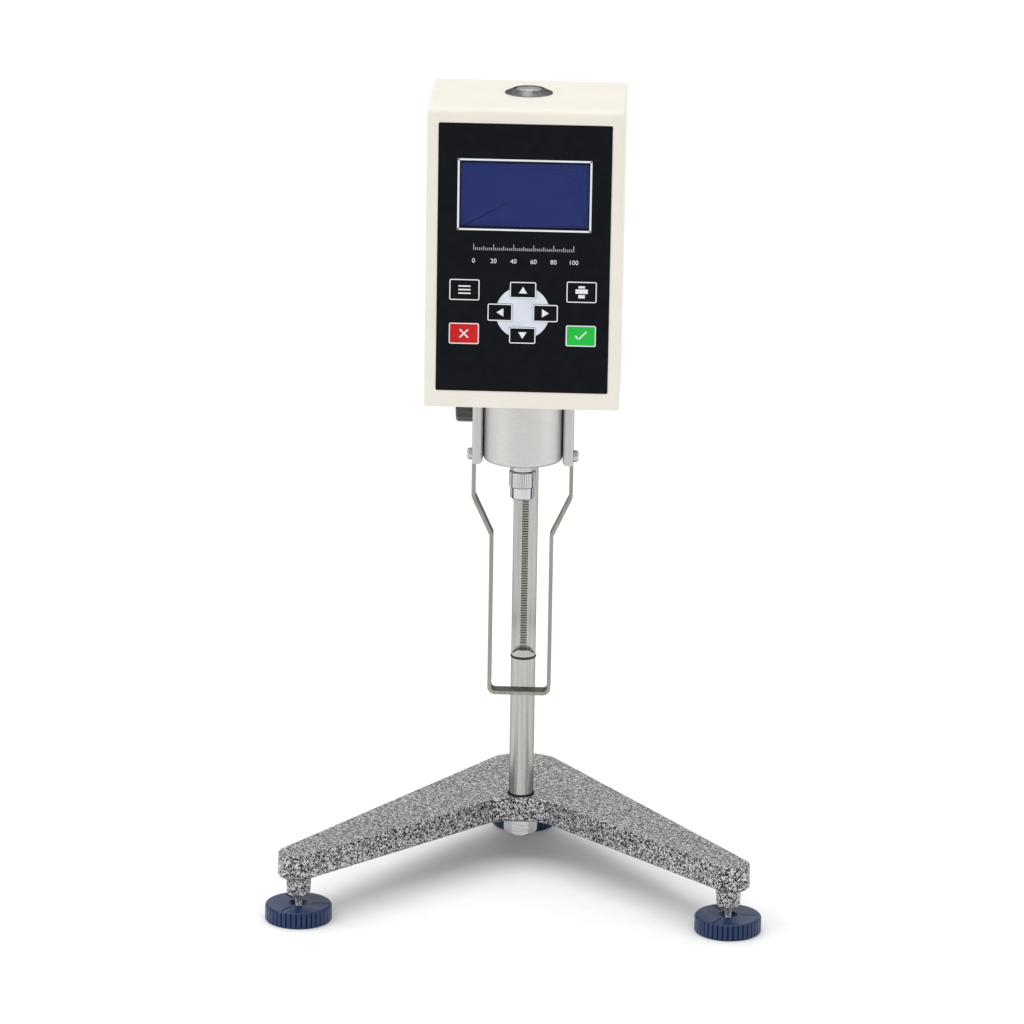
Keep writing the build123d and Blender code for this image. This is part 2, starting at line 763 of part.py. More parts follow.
with BuildPart() as cover_screws:
    with BuildSketch(facing(head_back)):
        with Locations(*cover_corners):
            Circle(cover_screw_head_radius)
    extrude(amount=-cover_screw_head_height)
    chamfer(cover_screws.edges().group_by(Axis.Y)[-1], cover_screw_head_height / 2)
    with BuildSketch(facing(head_back)):
        with Locations(*cover_corners):
            Circle(cover_screw_radius)
    extrude(amount=cover_screw_length)
write(cover_screws, "cover_screws")

# Front panel with its window and key openings
with BuildPart() as front_panel:
    with BuildSketch(facing(recess_floor)):
        with Locations((0, panel_centre)):
            RectangleRounded(panel_width, panel_height, panel_corner)
        with Locations((0, window_centre)):
            Rectangle(window_width + 2 * panel_gap, window_height + 2 * panel_gap, mode=Mode.SUBTRACT)
        for key_x, key_z, key_width, key_height in keys.values():
            with Locations((key_x, key_z)):
                RectangleRounded(key_width + 2 * key_gap, key_height + 2 * key_gap, key_corner, mode=Mode.SUBTRACT)
    extrude(amount=panel_thickness)
write(front_panel, "front_panel")

with BuildPart() as display_window:
    with BuildSketch(facing(recess_floor)):
        with Locations((0, window_centre)):
            Rectangle(window_width, window_height)
    extrude(amount=window_thickness)
write(display_window, "display_window")

with BuildPart() as display_glass:
    with BuildSketch(facing(recess_floor)):
        with Locations((0, window_centre)):
            Rectangle(display_glass_width, display_glass_height)
    extrude(amount=-(head_front + case_front_wall - recess_floor))
write(display_glass, "display_glass")

board_y = head_front + case_front_wall + display_bezel_depth
with BuildPart() as display_module:
    with BuildSketch(facing(head_front + case_front_wall)):
        with Locations((0, window_centre)):
            Rectangle(display_bezel_width, display_bezel_height)
    extrude(amount=-display_bezel_depth)
    with BuildSketch(facing(board_y)):
        with Locations((0, window_centre)):
            Rectangle(display_board_width, display_board_height)
            with GridLocations(display_board_width - 6, display_board_height - 6, 2, 2):
                Circle(1.5, mode=Mode.SUBTRACT)
    extrude(amount=-board_thickness)
write(display_module, "display_module")

# Keys: a flat cap with rounded corners and a stem that reaches its switch
for name, (key_x, key_z, key_width, key_height) in keys.items():
    with BuildPart() as key:
        with BuildSketch(facing(panel_face - key_proud)):
            with Locations((key_x, key_z)):
                RectangleRounded(key_width, key_height, key_corner)
        extrude(amount=-key_thickness)
        with BuildSketch(facing(panel_face - key_proud + key_thickness)):
            with Locations((key_x, key_z)):
                Circle(key_stem_radius)
        extrude(amount=-key_stem_length)
    write(key, name)

# Key board: a circuit board with a switch behind each key
switch_face = panel_face - key_proud + key_thickness + key_stem_length + key_travel + thread_clearance
key_board_y = switch_face + switch_height
with BuildPart() as key_board:
    with BuildSketch(facing(key_board_y)):
        with Locations((0, pad_centre)):
            Rectangle(key_board_width, key_board_height)
            with GridLocations(key_board_width - 6, key_board_height - 6, 2, 2):
                Circle(1.5, mode=Mode.SUBTRACT)
    extrude(amount=-board_thickness)
    with BuildSketch(facing(key_board_y)):
        for key_x, key_z, key_width, key_height in keys.values():
            with Locations((key_x, key_z)):
                Rectangle(switch_size, switch_size)
    extrude(amount=switch_height)
write(key_board, "key_board")

# Chassis plate on the case's floor, with the bracket that holds the rod
chassis_front = head_front + case_front_wall + chassis_front_gap
chassis_back = cover_face - seat_gap - 1
with BuildPart() as chassis_plate:
    with Locations((0, chassis_front, chassis_bottom)):
        Box(2 * chassis_half_width, chassis_back - chassis_front, chassis_thickness,
            align=(Align.CENTER, Align.MIN, Align.MIN))
    with Locations((0, spindle_y, chassis_bottom)):
        Cylinder(disc_radius + 1, chassis_thickness,
                 align=(Align.CENTER, Align.CENTER, Align.MIN), mode=Mode.SUBTRACT)
    corner_cut = cover_block + seat_gap
    with Locations((inner_width / 2, chassis_back, chassis_bottom), (-inner_width / 2, chassis_back, chassis_bottom)):
        Box(2 * corner_cut, 2 * cover_block_depth + 2, chassis_thickness,
            align=(Align.CENTER, Align.CENTER, Align.MIN), mode=Mode.SUBTRACT)
write(chassis_plate, "chassis_plate")

with BuildPart() as rod_bracket:
    with BuildSketch(facing(bracket_front)):
        with BuildLine():
            shoulder = rod_radius + bracket_shoulder
            Polyline((-shoulder, rod_height), (-bracket_half_width, chassis_top),
                     (bracket_half_width, chassis_top), (shoulder, rod_height))
            ThreePointArc((shoulder, rod_height), (0, rod_height + shoulder), (-shoulder, rod_height))
        make_face()
        with Locations((0, rod_height)):
            Circle(rod_radius + rod_bore_gap, mode=Mode.SUBTRACT)
    extrude(amount=-bracket_depth)
write(rod_bracket, "rod_bracket")

# Spindle housing: a turned cup with a shallow cone under it and a short neck for the bearing
neck_top = housing_rim - housing_cone_drop
bearing_seat = neck_bottom + 1.2
floor_top = housing_rim + housing_wall
with BuildPart() as spindle_housing:
    add(turned(spindle_y, [
        (spindle_radius + 0.3, neck_bottom), (neck_radius - 0.4, neck_bottom), (neck_radius, neck_bottom + 0.4),
        (neck_radius, neck_top), (housing_radius, housing_rim), (housing_radius, chassis_bottom),
        (housing_radius - housing_wall, chassis_bottom), (housing_radius - housing_wall, floor_top),
        (bearing_radius + thread_clearance, floor_top), (bearing_radius + thread_clearance, bearing_seat),
        (spindle_radius + 0.3, bearing_seat),
    ]))
    outer_rims = spindle_housing.edges().filter_by(lambda edge: abs(edge.center().Z - housing_rim) < 0.01)
    fillet(outer_rims.filter_by(GeomType.CIRCLE), housing_rim_round)
write(spindle_housing, "spindle_housing")

with BuildPart() as spindle_bearing:
    with BuildSketch(Plane((0, spindle_y, bearing_seat))):
        Circle(bearing_radius)
        Circle(spindle_radius + running_clearance, mode=Mode.SUBTRACT)
    extrude(amount=bearing_length)
write(spindle_bearing, "spindle_bearing")

# Spindle shaft with the lower slotted disc and the collet that holds the hairspring's inner end
sleeve_top = neck_bottom - sleeve_top_gap
sleeve_bottom = sleeve_top - sleeve_length
connector_bottom = sleeve_bottom - connector_length
collet_bottom = spring_height - (collet_length - spring_strip) / 2
collet_top = collet_bottom + collet_length
drive_shaft_bottom = collet_top + pivot_gap
with BuildPart() as spindle_shaft:
    add(turned(spindle_y, [
        (0, sleeve_bottom), (spindle_radius, sleeve_bottom), (spindle_radius, lower_disc_height - 1),
        (collet_radius, lower_disc_height - 1), (collet_radius, lower_disc_height), (disc_radius, lower_disc_height),
        (disc_radius, lower_disc_height + disc_thickness), (collet_radius, lower_disc_height + disc_thickness),
        (collet_radius, collet_top), (0, collet_top),
    ]))
    with Locations((0, spindle_y - disc_radius, lower_disc_height)):
        Box(disc_slot_width, 2 * disc_slot_length, disc_thickness,
            align=(Align.CENTER, Align.CENTER, Align.MIN), mode=Mode.SUBTRACT)
write(spindle_shaft, "spindle_shaft")

# Drive shaft: hangs from the motor and carries the upper slotted disc and the spring's outer stud
pillar_top = chassis_top + pillar_height
spring_outer_radius = spring_inner_radius + spring_pitch * spring_half_turns / 2
stud_x = spring_outer_radius * (-1) ** spring_half_turns
stud_reach = stud_x + (1 if stud_x > 0 else -1) * (stud_radius + spring_leaf / 2)
with BuildPart() as drive_shaft:
    add(turned(spindle_y, [
        (0, drive_shaft_bottom), (collet_radius, drive_shaft_bottom), (collet_radius, upper_disc_height),
        (disc_radius, upper_disc_height), (disc_radius, upper_disc_height + disc_thickness),
        (collet_radius, upper_disc_height + disc_thickness), (collet_radius, upper_disc_height + 3),
        (spindle_radius, upper_disc_height + 3), (spindle_radius, pillar_top + 2), (0, pillar_top + 2),
    ]))
    with Locations((0, spindle_y - disc_radius, upper_disc_height)):
        Box(disc_slot_width, 2 * disc_slot_length, disc_thickness,
            align=(Align.CENTER, Align.CENTER, Align.MIN), mode=Mode.SUBTRACT)
    with Locations((stud_reach, spindle_y, spring_height)):
        Cylinder(stud_radius, upper_disc_height - spring_height, align=(Align.CENTER, Align.CENTER, Align.MIN))
write(drive_shaft, "drive_shaft")

# Hairspring: a flat spiral of half circles, each a little wider than the one before
with BuildPart() as hairspring:
    with BuildSketch(Plane((0, spindle_y, spring_height))):
        with BuildLine():
            start_x = spring_inner_radius
            for half_turn in range(spring_half_turns):
                sign = (-1) ** half_turn
                end_x = -sign * (spring_inner_radius + spring_pitch * (half_turn + 1) / 2)
                middle_x = (start_x + end_x) / 2
                ThreePointArc((start_x, 0), (middle_x, sign * abs(end_x - start_x) / 2), (end_x, 0))
                start_x = end_x
        trace(line_width=spring_leaf)
    extrude(amount=spring_strip)
write(hairspring, "hairspring")

# Spindle coupling: a knurled sleeve over a smooth connector with a tapped end
with BuildPart() as coupling_sleeve:
    with BuildSketch(Plane((0, spindle_y, sleeve_bottom))):
        Circle(sleeve_radius)
        Circle(spindle_radius + thread_clearance, mode=Mode.SUBTRACT)
    extrude(amount=sleeve_length)
    chamfer(coupling_sleeve.edges().group_by(Axis.Z)[0].sort_by(SortBy.RADIUS)[-1], sleeve_chamfer)
    chamfer(coupling_sleeve.edges().group_by(Axis.Z)[-1].sort_by(SortBy.RADIUS)[-1], sleeve_chamfer)
    knurl_half_width = pi * sleeve_radius / sleeve_knurls / 2
    with BuildSketch(Plane((0, spindle_y, sleeve_bottom))):
        with PolarLocations(sleeve_radius, sleeve_knurls):
            Polygon((groove_overrun, -knurl_half_width), (groove_overrun, knurl_half_width),
                    (-sleeve_knurl_depth, 0), align=None)
    extrude(amount=sleeve_length, mode=Mode.SUBTRACT)
write(coupling_sleeve, "coupling_sleeve")

with BuildPart() as coupling_connector:
    with BuildSketch(Plane((0, spindle_y, sleeve_bottom))):
        Circle(connector_radius)
    extrude(amount=-connector_length)
    chamfer(coupling_connector.edges().group_by(Axis.Z)[0], connector_chamfer)
    with Locations((0, spindle_y, connector_bottom)):
        Cylinder(connector_bore_radius, connector_bore_length,
                 align=(Align.CENTER, Align.CENTER, Align.MIN), mode=Mode.SUBTRACT)
write(coupling_connector, "coupling_connector")

# Slotted light sensors that watch the rims of the two discs, one on each side
with BuildPart() as disc_sensors:
    sensor_outer = sqrt((housing_radius - housing_wall - sensor_gap) ** 2 - (sensor_width / 2) ** 2)
    sensor_reach = abs(stud_reach) + stud_radius + sensor_stud_gap
    sensor_throat = disc_radius + sensor_rim_gap - sensor_reach
    for sign, disc_height in ((1, lower_disc_height), (-1, upper_disc_height)):
        with Locations((sign * (sensor_reach + sensor_outer) / 2, spindle_y, disc_height + disc_thickness / 2)):
            Box(sensor_outer - sensor_reach, sensor_width, sensor_height)
        with Locations((sign * sensor_reach, spindle_y, disc_height + disc_thickness / 2)):
            Box(2 * sensor_throat, sensor_width, sensor_slot, mode=Mode.SUBTRACT)
write(disc_sensors, "disc_sensors")

# Motor on three pillars, its gearbox below and its shaft's collar pointing down
with BuildPart() as motor_pillars:
    with BuildSketch(Plane((0, spindle_y, chassis_top))):
        with PolarLocations(pillar_circle, 3, start_angle=-90):
            RegularPolygon(pillar_radius, 6)
    extrude(amount=pillar_height)
write(motor_pillars, "motor_pillars")

with BuildPart() as drive_motor:
    with BuildSketch(Plane((0, spindle_y, pillar_top))):
        Circle(motor_radius)
    extrude(amount=1.5)
    with BuildSketch(Plane((0, spindle_y, pillar_top))):
        Circle(gearbox_radius)
    extrude(amount=gearbox_height)
    with BuildSketch(Plane((0, spindle_y, pillar_top + gearbox_height))):
        Circle(motor_radius - 1)
    extrude(amount=motor_height)
    fillet(drive_motor.edges().group_by(Axis.Z)[-1], 1.5)
    with BuildSketch(Plane((0, spindle_y, pillar_top))):
        Circle(motor_boss_radius)
    extrude(amount=-motor_boss_height)
    with Locations((0, spindle_y, pillar_top - motor_boss_height)):
        Cylinder(spindle_radius + running_clearance, motor_boss_height + 2 + seat_gap,
                 align=(Align.CENTER, Align.CENTER, Align.MIN), mode=Mode.SUBTRACT)
write(drive_motor, "drive_motor")

# Main board, upright beside the motor on the case's left wall
with BuildPart() as main_board:
    board_x = -inner_width / 2 + main_board_gap
    board_back = cover_face - cover_block_depth - 1
    with Locations((board_x, board_back, main_board_bottom)):
        Box(board_thickness, main_board_depth, main_board_height, align=(Align.MIN, Align.MAX, Align.MIN))
    chip_x = board_x + board_thickness
    with Locations((chip_x, board_back - main_board_depth * 0.5, main_board_bottom + main_board_height * 0.35)):
        Box(chip_height, 14, 14, align=(Align.MIN, Align.CENTER, Align.CENTER))
    with Locations((chip_x, board_back - main_board_depth * 0.5, main_board_bottom + main_board_height * 0.7)):
        Box(chip_height, 9, 20, align=(Align.MIN, Align.CENTER, Align.CENTER))
    with Locations((chip_x, board_back - 8, main_board_bottom + 10), (chip_x, board_back - 8, main_board_bottom + 28)):
        Box(4 * chip_height, 9, 9, align=(Align.MIN, Align.CENTER, Align.CENTER))
write(main_board, "main_board")

# Guard posts: rounded bars beside the housing, each with a channel for the strap's end
for side, sign in (("left", -1), ("right", 1)):
    with BuildPart() as guard_post:
        with BuildSketch(Plane((0, spindle_y, post_bottom))):
            with Locations((sign * (post_inner + post_outer) / 2, 0)):
                RectangleRounded(post_outer - post_inner, post_depth, post_round)
        extrude(amount=chassis_bottom - post_bottom)
        with Locations((sign * post_outer, spindle_y, post_bottom)):
            Box(2 * (strap_thickness + strap_gap), strap_width + 2 * strap_gap, strap_top + seat_gap - post_bottom,
                align=(Align.CENTER, Align.CENTER, Align.MIN), mode=Mode.SUBTRACT)
        with BuildSketch(facing(spindle_y - post_depth / 2)):
            with BuildLine():
                toe_x = sign * post_inner
                corner_x = sign * (post_inner + post_toe_radius)
                Line((toe_x, post_bottom), (corner_x, post_bottom))
                RadiusArc((corner_x, post_bottom), (toe_x, post_bottom + post_toe_radius), sign * post_toe_radius)
                Line((toe_x, post_bottom + post_toe_radius), (toe_x, post_bottom))
            make_face()
        extrude(amount=-post_depth, mode=Mode.SUBTRACT)
        with BuildSketch(sideways(sign * post_outer)):
            with Locations((spindle_y, guard_screw_height)):
                Circle(guard_screw_radius + thread_clearance)
        extrude(amount=-sign * (post_outer - post_inner), mode=Mode.SUBTRACT)
    write(guard_post, f"guard_post_{side}")

# Guard strap: one flat strip bent to a U that steps in below the coupling
upper_x = post_outer - strap_thickness / 2
lower_x = strap_half_width - strap_thickness / 2
bar_z = strap_bottom + strap_thickness / 2
strap_points = [
    (-upper_x, strap_top), (-upper_x, strap_upper_knee), (-lower_x, strap_lower_knee), (-lower_x, bar_z),
    (lower_x, bar_z), (lower_x, strap_lower_knee), (upper_x, strap_upper_knee), (upper_x, strap_top),
]
strap_radii = [strap_knee_radius, strap_knee_radius, strap_corner_radius, strap_corner_radius,
               strap_knee_radius, strap_knee_radius]
with BuildPart() as guard_strap:
    with BuildSketch(facing(spindle_y)):
        with BuildLine():
            FilletPolyline(*strap_points, radius=strap_radii)
        trace(line_width=strap_thickness)
    extrude(amount=strap_width / 2, both=True)
    with BuildSketch(sideways(0)):
        with Locations((spindle_y, guard_screw_height)):
            Circle(guard_screw_radius + thread_clearance)
    extrude(amount=post_outer + 1, both=True, mode=Mode.SUBTRACT)
write(guard_strap, "guard_strap")

with BuildPart() as guard_screws:
    for sign in (-1, 1):
        with BuildSketch(sideways(sign * post_outer)):
            with Locations((spindle_y, guard_screw_height)):
                Circle(guard_screw_head_radius)
        extrude(amount=sign * guard_screw_head_height)
    crowns = guard_screws.edges().group_by(Axis.X)[0] + guard_screws.edges().group_by(Axis.X)[-1]
    fillet(crowns, guard_screw_head_height / 2)
    for sign in (-1, 1):
        with BuildSketch(sideways(sign * post_outer)):
            with Locations((spindle_y, guard_screw_height)):
                Circle(guard_screw_radius)
        extrude(amount=-sign * guard_screw_length)
write(guard_screws, "guard_screws")

# Bubble level: a low turned bezel over a round vial
with BuildPart() as level_bezel:
    add(turned(spindle_y, [
        (level_glass_radius + panel_gap, head_top - level_body_depth), (level_body_radius, head_top - level_body_depth),
        (level_body_radius, head_top), (level_flange_radius, head_top),
        (level_flange_radius, head_top + level_flange_edge), (level_rim_radius, head_top + level_height),
        (level_glass_radius + panel_gap, head_top + level_height),
    ]))
write(level_bezel, "level_bezel")

with BuildPart() as level_vial:
    with Locations((0, spindle_y, head_top + level_height - level_glass_drop)):
        Cylinder(level_glass_radius, level_body_depth + level_height - level_glass_drop,
                 align=(Align.CENTER, Align.CENTER, Align.MAX))
    fillet(level_vial.edges().group_by(Axis.Z)[-1], 0.8)
write(level_vial, "level_vial")

# Power switch: a clipped-in frame and the rocker that tips in it
pivot_y = head_back + switch_flange_depth - rocker_sink
with BuildPart() as switch_frame:
    with BuildSketch(facing(head_back)):
        with Locations((switch_x, switch_z)):
            RectangleRounded(switch_flange_width, switch_flange_height, 1.5)
    extrude(amount=-switch_flange_depth)
    with BuildSketch(facing(head_back)):
        with Locations((switch_x, switch_z)):
            Rectangle(switch_body_width, switch_body_height)
    extrude(amount=switch_body_depth)
    with BuildSketch(facing(head_back + switch_flange_depth)):
        with Locations((switch_x, switch_z)):
            Rectangle(rocker_width + 2 * rocker_gap, 2 * (rocker_radius + rocker_gap))
    extrude(amount=rocker_sink + rocker_radius + rocker_gap, mode=Mode.SUBTRACT)
write(switch_frame, "switch_frame")

with BuildPart() as power_rocker:
    with BuildSketch(sideways(switch_x - rocker_width / 2)):
        with Locations((pivot_y, switch_z)):
            Circle(rocker_radius)
    extrude(amount=rocker_width)
    # The face is a shallow V, tipped so that its lower half is pressed in at rest
    crest = rocker_sink - 0.4
    spread = rocker_radius + 2
    with BuildSketch(Plane((switch_x - rocker_width / 2, pivot_y, switch_z), x_dir=(0, 1, 0), z_dir=(1, 0, 0))):
        with BuildLine():
            Polyline((crest, 0), (crest + spread * tan(radians(2 * rocker_tilt)), spread), (spread + 8, spread),
                     (spread + 8, -spread), (crest, -spread), close=True)
        make_face()
    extrude(amount=rocker_width, mode=Mode.SUBTRACT)
write(power_rocker, "power_rocker")

# Power inlet: a round socket with a centre pin, held by a hexagonal nut
with BuildPart() as power_inlet:
    with BuildSketch(facing(head_back)):
        with Locations((inlet_x, inlet_z)):
            RegularPolygon(inlet_nut_flats / 2, 6, major_radius=False)
    extrude(amount=-inlet_nut_height)
    with BuildSketch(facing(head_back)):
        with Locations((inlet_x, inlet_z)):
            Circle(inlet_radius)
    extrude(amount=inlet_length)
    with BuildSketch(facing(head_back + inlet_nut_height)):
        with Locations((inlet_x, inlet_z)):
            Circle(inlet_bore_radius)
            Circle(inlet_pin_radius, mode=Mode.SUBTRACT)
    extrude(amount=inlet_bore_depth, mode=Mode.SUBTRACT)
write(power_inlet, "power_inlet")

# Printer port: a nine-way socket with its flange, metal shell and two jack screws
with BuildPart() as printer_port:
    with BuildSketch(facing(head_back)):
        with Locations((port_x, port_z)):
            RectangleRounded(port_flange_width, port_flange_height, 1)
    extrude(amount=-port_flange_thickness)
    port_face = head_back + port_flange_thickness
    with BuildSketch(facing(port_face)):
        with Locations((port_x, port_z)):
            Trapezoid(port_shell_width, port_shell_height, 80, align=(Align.CENTER, Align.CENTER), rotation=180)
        with Locations((port_x - port_screw_spacing / 2, port_z), (port_x + port_screw_spacing / 2, port_z)):
            RegularPolygon(port_screw_flats / 2, 6, major_radius=False)
    extrude(amount=-port_screw_length)
    with BuildSketch(facing(port_face + port_screw_length)):
        with Locations((port_x, port_z)):
            Trapezoid(port_shell_width, port_shell_height, 80, align=(Align.CENTER, Align.CENTER), rotation=180)
    extrude(amount=-(port_shell_length - port_screw_length))
    with BuildSketch(facing(head_back)):
        with Locations((port_x, port_z)):
            Rectangle(port_body_width, port_body_height)
    extrude(amount=port_body_depth)
write(printer_port, "printer_port")
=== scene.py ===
import json
from math import cos, pi, radians, sin

import bmesh
import bpy
import numpy as np
from mathutils import Matrix, Vector


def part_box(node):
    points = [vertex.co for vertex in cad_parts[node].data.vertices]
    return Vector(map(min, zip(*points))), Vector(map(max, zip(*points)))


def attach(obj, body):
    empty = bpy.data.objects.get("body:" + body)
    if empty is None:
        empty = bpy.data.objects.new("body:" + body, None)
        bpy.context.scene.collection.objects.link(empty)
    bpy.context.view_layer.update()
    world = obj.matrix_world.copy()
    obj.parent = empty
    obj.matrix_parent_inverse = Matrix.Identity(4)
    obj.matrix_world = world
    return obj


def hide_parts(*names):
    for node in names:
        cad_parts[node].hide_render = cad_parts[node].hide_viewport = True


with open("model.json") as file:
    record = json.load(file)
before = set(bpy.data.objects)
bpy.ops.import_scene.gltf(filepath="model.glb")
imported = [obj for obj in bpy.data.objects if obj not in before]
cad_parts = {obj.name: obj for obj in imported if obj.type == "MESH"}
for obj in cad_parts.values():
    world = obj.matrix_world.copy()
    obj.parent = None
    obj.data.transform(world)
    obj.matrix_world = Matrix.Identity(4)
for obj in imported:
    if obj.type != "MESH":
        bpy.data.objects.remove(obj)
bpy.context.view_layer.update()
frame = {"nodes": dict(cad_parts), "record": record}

mm = 0.001

# Camera, fitted to the edges of the head, the column and the three feet
camera_place = (0.08376, -2.7704, 0.9919)
camera_pitch = radians(15.81)
camera_turn = radians(1.871)
camera_roll = radians(0.934)
camera_pixels = 5300.0
camera_reach = 50.0
frame_pixels = 1024.0
sensor_width = 36.0

# Floor and lights
floor_half = 9.0
light_target = (0, 0, 0.2)
sky_power = 1.7
sky_spread = radians(70)
sky_direction = (0.16, 0.04, -1.0)
world_strength = 0.70

# Printing on the front panel and the keys
print_thickness = 0.03 * mm
print_edge = 0.05 * mm
display_frame_width = 69.6 * mm
display_frame_height = 37.9 * mm
display_frame_band = 1.0 * mm
display_frame_corner = 0.15 * mm
display_point_spacing = 0.52 * mm
display_point_gap = 0.03 * mm
pad_middle_height = 339.9 * mm
pad_disc_radius = 14.1 * mm
key_corner = 0.9 * mm
key_band = 0.55 * mm

# Scale under the display, from 0 to 100
scale_centre_height = 374.4 * mm
scale_width = 52.0 * mm
scale_end = 100
scale_step = 2
scale_middle_step = 10
scale_long_step = 20
scale_tick = 3.2 * mm
middle_tick_share = 0.7
short_tick_share = 0.45
tick_stroke = 0.22 * mm
numeral_height = 367.2 * mm
numeral_size = 3.4 * mm

# Symbols on the keys
arrow_width = 4.4 * mm
arrow_height = 3.6 * mm
icon_stroke = 0.75 * mm
menu_half_width = 3.2 * mm
menu_line_spacing = 1.9 * mm
cross_reach = 2.2 * mm
cross_gap = 0.27 * mm
check_start = (-2.9 * mm, 0.1 * mm)
check_turn = (-1.0 * mm, -1.9 * mm)
check_lap = 0.25 * mm
check_end = (2.9 * mm, 2.3 * mm)
printer_half_width = 3.2 * mm
printer_height = 2.4 * mm
printer_rise = 0.4 * mm
paper_half_width = 1.7 * mm
paper_in_height = 1.2 * mm
paper_in_rise = 2.7 * mm
paper_out_height = 1.8 * mm
paper_out_drop = 2.3 * mm

# Levelling screws
thread_pitch = 0.7 * mm
thread_depth = 0.33 * mm
thread_radius = 1.98 * mm
thread_columns = 24
thread_rows = 6

# Bubble level
level_fill_drop = 1.3 * mm
level_fill_depth = 2 * mm
level_fill_radius = 7.0 * mm
level_fill_middle = 0.2 * mm
level_fill_crown = 0.05 * mm
level_ring_radius = 3.1 * mm
level_ring_band = 0.35 * mm
level_ring_foot = 0.02 * mm
level_ring_top = 0.10 * mm
level_bubble_radius = 2.5 * mm
level_bubble_height = 0.55 * mm
level_bubble_tip_angle = 0.02
level_bubble_rings = 10

# Cross recesses of the cover screws
cover_screw_head_radius = 2.9 * mm
recess_reach = 1.5 * mm
recess_stroke = 0.6 * mm

# Sockets of the nine-way port
socket_radius = 0.55 * mm
socket_rise = 1.42 * mm
socket_spacing = 2.76 * mm
socket_segments = 12


def shader_tree(name):
    """A new material's tree of nodes and its main shader."""
    material = bpy.data.materials.new(name)
    material.use_nodes = True
    return material, material.node_tree, material.node_tree.nodes["Principled BSDF"]


def own_place(tree, stretch=(1, 1, 1)):
    """The piece's own coordinates in metres, scaled by the stretch."""
    coordinates = tree.nodes.new("ShaderNodeTexCoord")
    mapping = tree.nodes.new("ShaderNodeMapping")
    mapping.inputs["Scale"].default_value = stretch
    tree.links.new(coordinates.outputs["Object"], mapping.inputs["Vector"])
    return mapping.outputs["Vector"]


def noise(tree, scale, stretch=(1, 1, 1), detail=2.0, distortion=0.0):
    """Noise with about `scale` grains to the metre, drawn out where the stretch is small."""
    texture = tree.nodes.new("ShaderNodeTexNoise")
    texture.inputs["Scale"].default_value = scale
    texture.inputs["Detail"].default_value = detail
    texture.inputs["Distortion"].default_value = distortion
    tree.links.new(own_place(tree, stretch), texture.inputs["Vector"])
    return texture.outputs["Fac"]


def spread(tree, value, low, high, start=0.35, end=0.65):
    """The value's span from start to end, laid on the span from low to high."""
    node = tree.nodes.new("ShaderNodeMapRange")
    node.inputs["From Min"].default_value = start
    node.inputs["From Max"].default_value = end
    node.inputs["To Min"].default_value = low
    node.inputs["To Max"].default_value = high
    tree.links.new(value, node.inputs["Value"])
    return node.outputs["Result"]


def tint(tree, value, dark, light, start=0.35, end=0.65):
    """A colour that goes from dark to light as the value goes from start to end."""
    ramp = tree.nodes.new("ShaderNodeValToRGB")
    ramp.color_ramp.elements[0].position = start
    ramp.color_ramp.elements[0].color = (*dark, 1)
    ramp.color_ramp.elements[1].position = end
    ramp.color_ramp.elements[1].color = (*light, 1)
    tree.links.new(value, ramp.inputs["Fac"])
    return ramp.outputs["Color"]


def arithmetic(tree, operation, first, second):
    """One step of arithmetic on two values, each a socket or a number."""
    node = tree.nodes.new("ShaderNodeMath")
    node.operation = operation
    for socket, value in zip(node.inputs, (first, second)):
        if isinstance(value, (int, float)):
            socket.default_value = value
        else:
            tree.links.new(value, socket)
    return node.outputs["Value"]


def relief(tree, shader, height, depth, strength=1.0):
    """Bump of the given depth in metres from a height value."""
    bump = tree.nodes.new("ShaderNodeBump")
    bump.inputs["Strength"].default_value = strength
    bump.inputs["Distance"].default_value = depth
    tree.links.new(height, bump.inputs["Height"])
    tree.links.new(bump.outputs["Normal"], shader.inputs["Normal"])


def moulded(name, dark, light, roughness, grain, depth, coat=0.0, shine=0.5):
    """Moulded or painted surface: slight cloudiness in the colour, uneven gloss and a fine grain."""
    material, tree, shader = shader_tree(name)
    tree.links.new(tint(tree, noise(tree, 60), dark, light), shader.inputs["Base Color"])
    gloss = spread(tree, noise(tree, 140, detail=4), roughness - 0.04, roughness + 0.05)
    tree.links.new(gloss, shader.inputs["Roughness"])
    shader.inputs["Coat Weight"].default_value = coat
    shader.inputs["Specular IOR Level"].default_value = shine
    relief(tree, shader, noise(tree, grain, detail=3), depth)
    return material


def worked_metal(name, dark, light, roughness, stretch, grain=900, depth=0.006 * mm, edge=0.35):
    """Ground, brushed or turned metal: fine lines drawn out along the axis with the small stretch."""
    material, tree, shader = shader_tree(name)
    shader.inputs["Metallic"].default_value = 1.0
    shader.inputs["Specular Tint"].default_value = (edge, edge, edge, 1)
    lines = noise(tree, grain, stretch, detail=4)
    tree.links.new(tint(tree, lines, dark, light, 0.3, 0.7), shader.inputs["Base Color"])
    tree.links.new(spread(tree, lines, roughness - 0.05, roughness + 0.08), shader.inputs["Roughness"])
    relief(tree, shader, lines, depth)
    return material


def hammer_enamel():
    """Black enamel that has drawn back into small cells over silver, as hammer finish does."""
    material, tree, shader = shader_tree("hammer_enamel")
    cells = noise(tree, 900, detail=1.0, distortion=1.3)
    cell_start, cell_end = 0.50, 0.56
    colour = tint(tree, cells, (0.003, 0.003, 0.003), (0.64, 0.64, 0.65), cell_start, cell_end)
    tree.links.new(colour, shader.inputs["Base Color"])
    tree.links.new(spread(tree, cells, 0.0, 0.6, cell_start, cell_end), shader.inputs["Metallic"])
    tree.links.new(spread(tree, cells, 0.30, 0.42, cell_start, cell_end), shader.inputs["Roughness"])
    shader.inputs["Specular IOR Level"].default_value = 0.3
    shader.inputs["Coat Weight"].default_value = 0.3
    shader.inputs["Coat Roughness"].default_value = 0.2
    relief(tree, shader, cells, 0.12 * mm, 0.8)
    return material


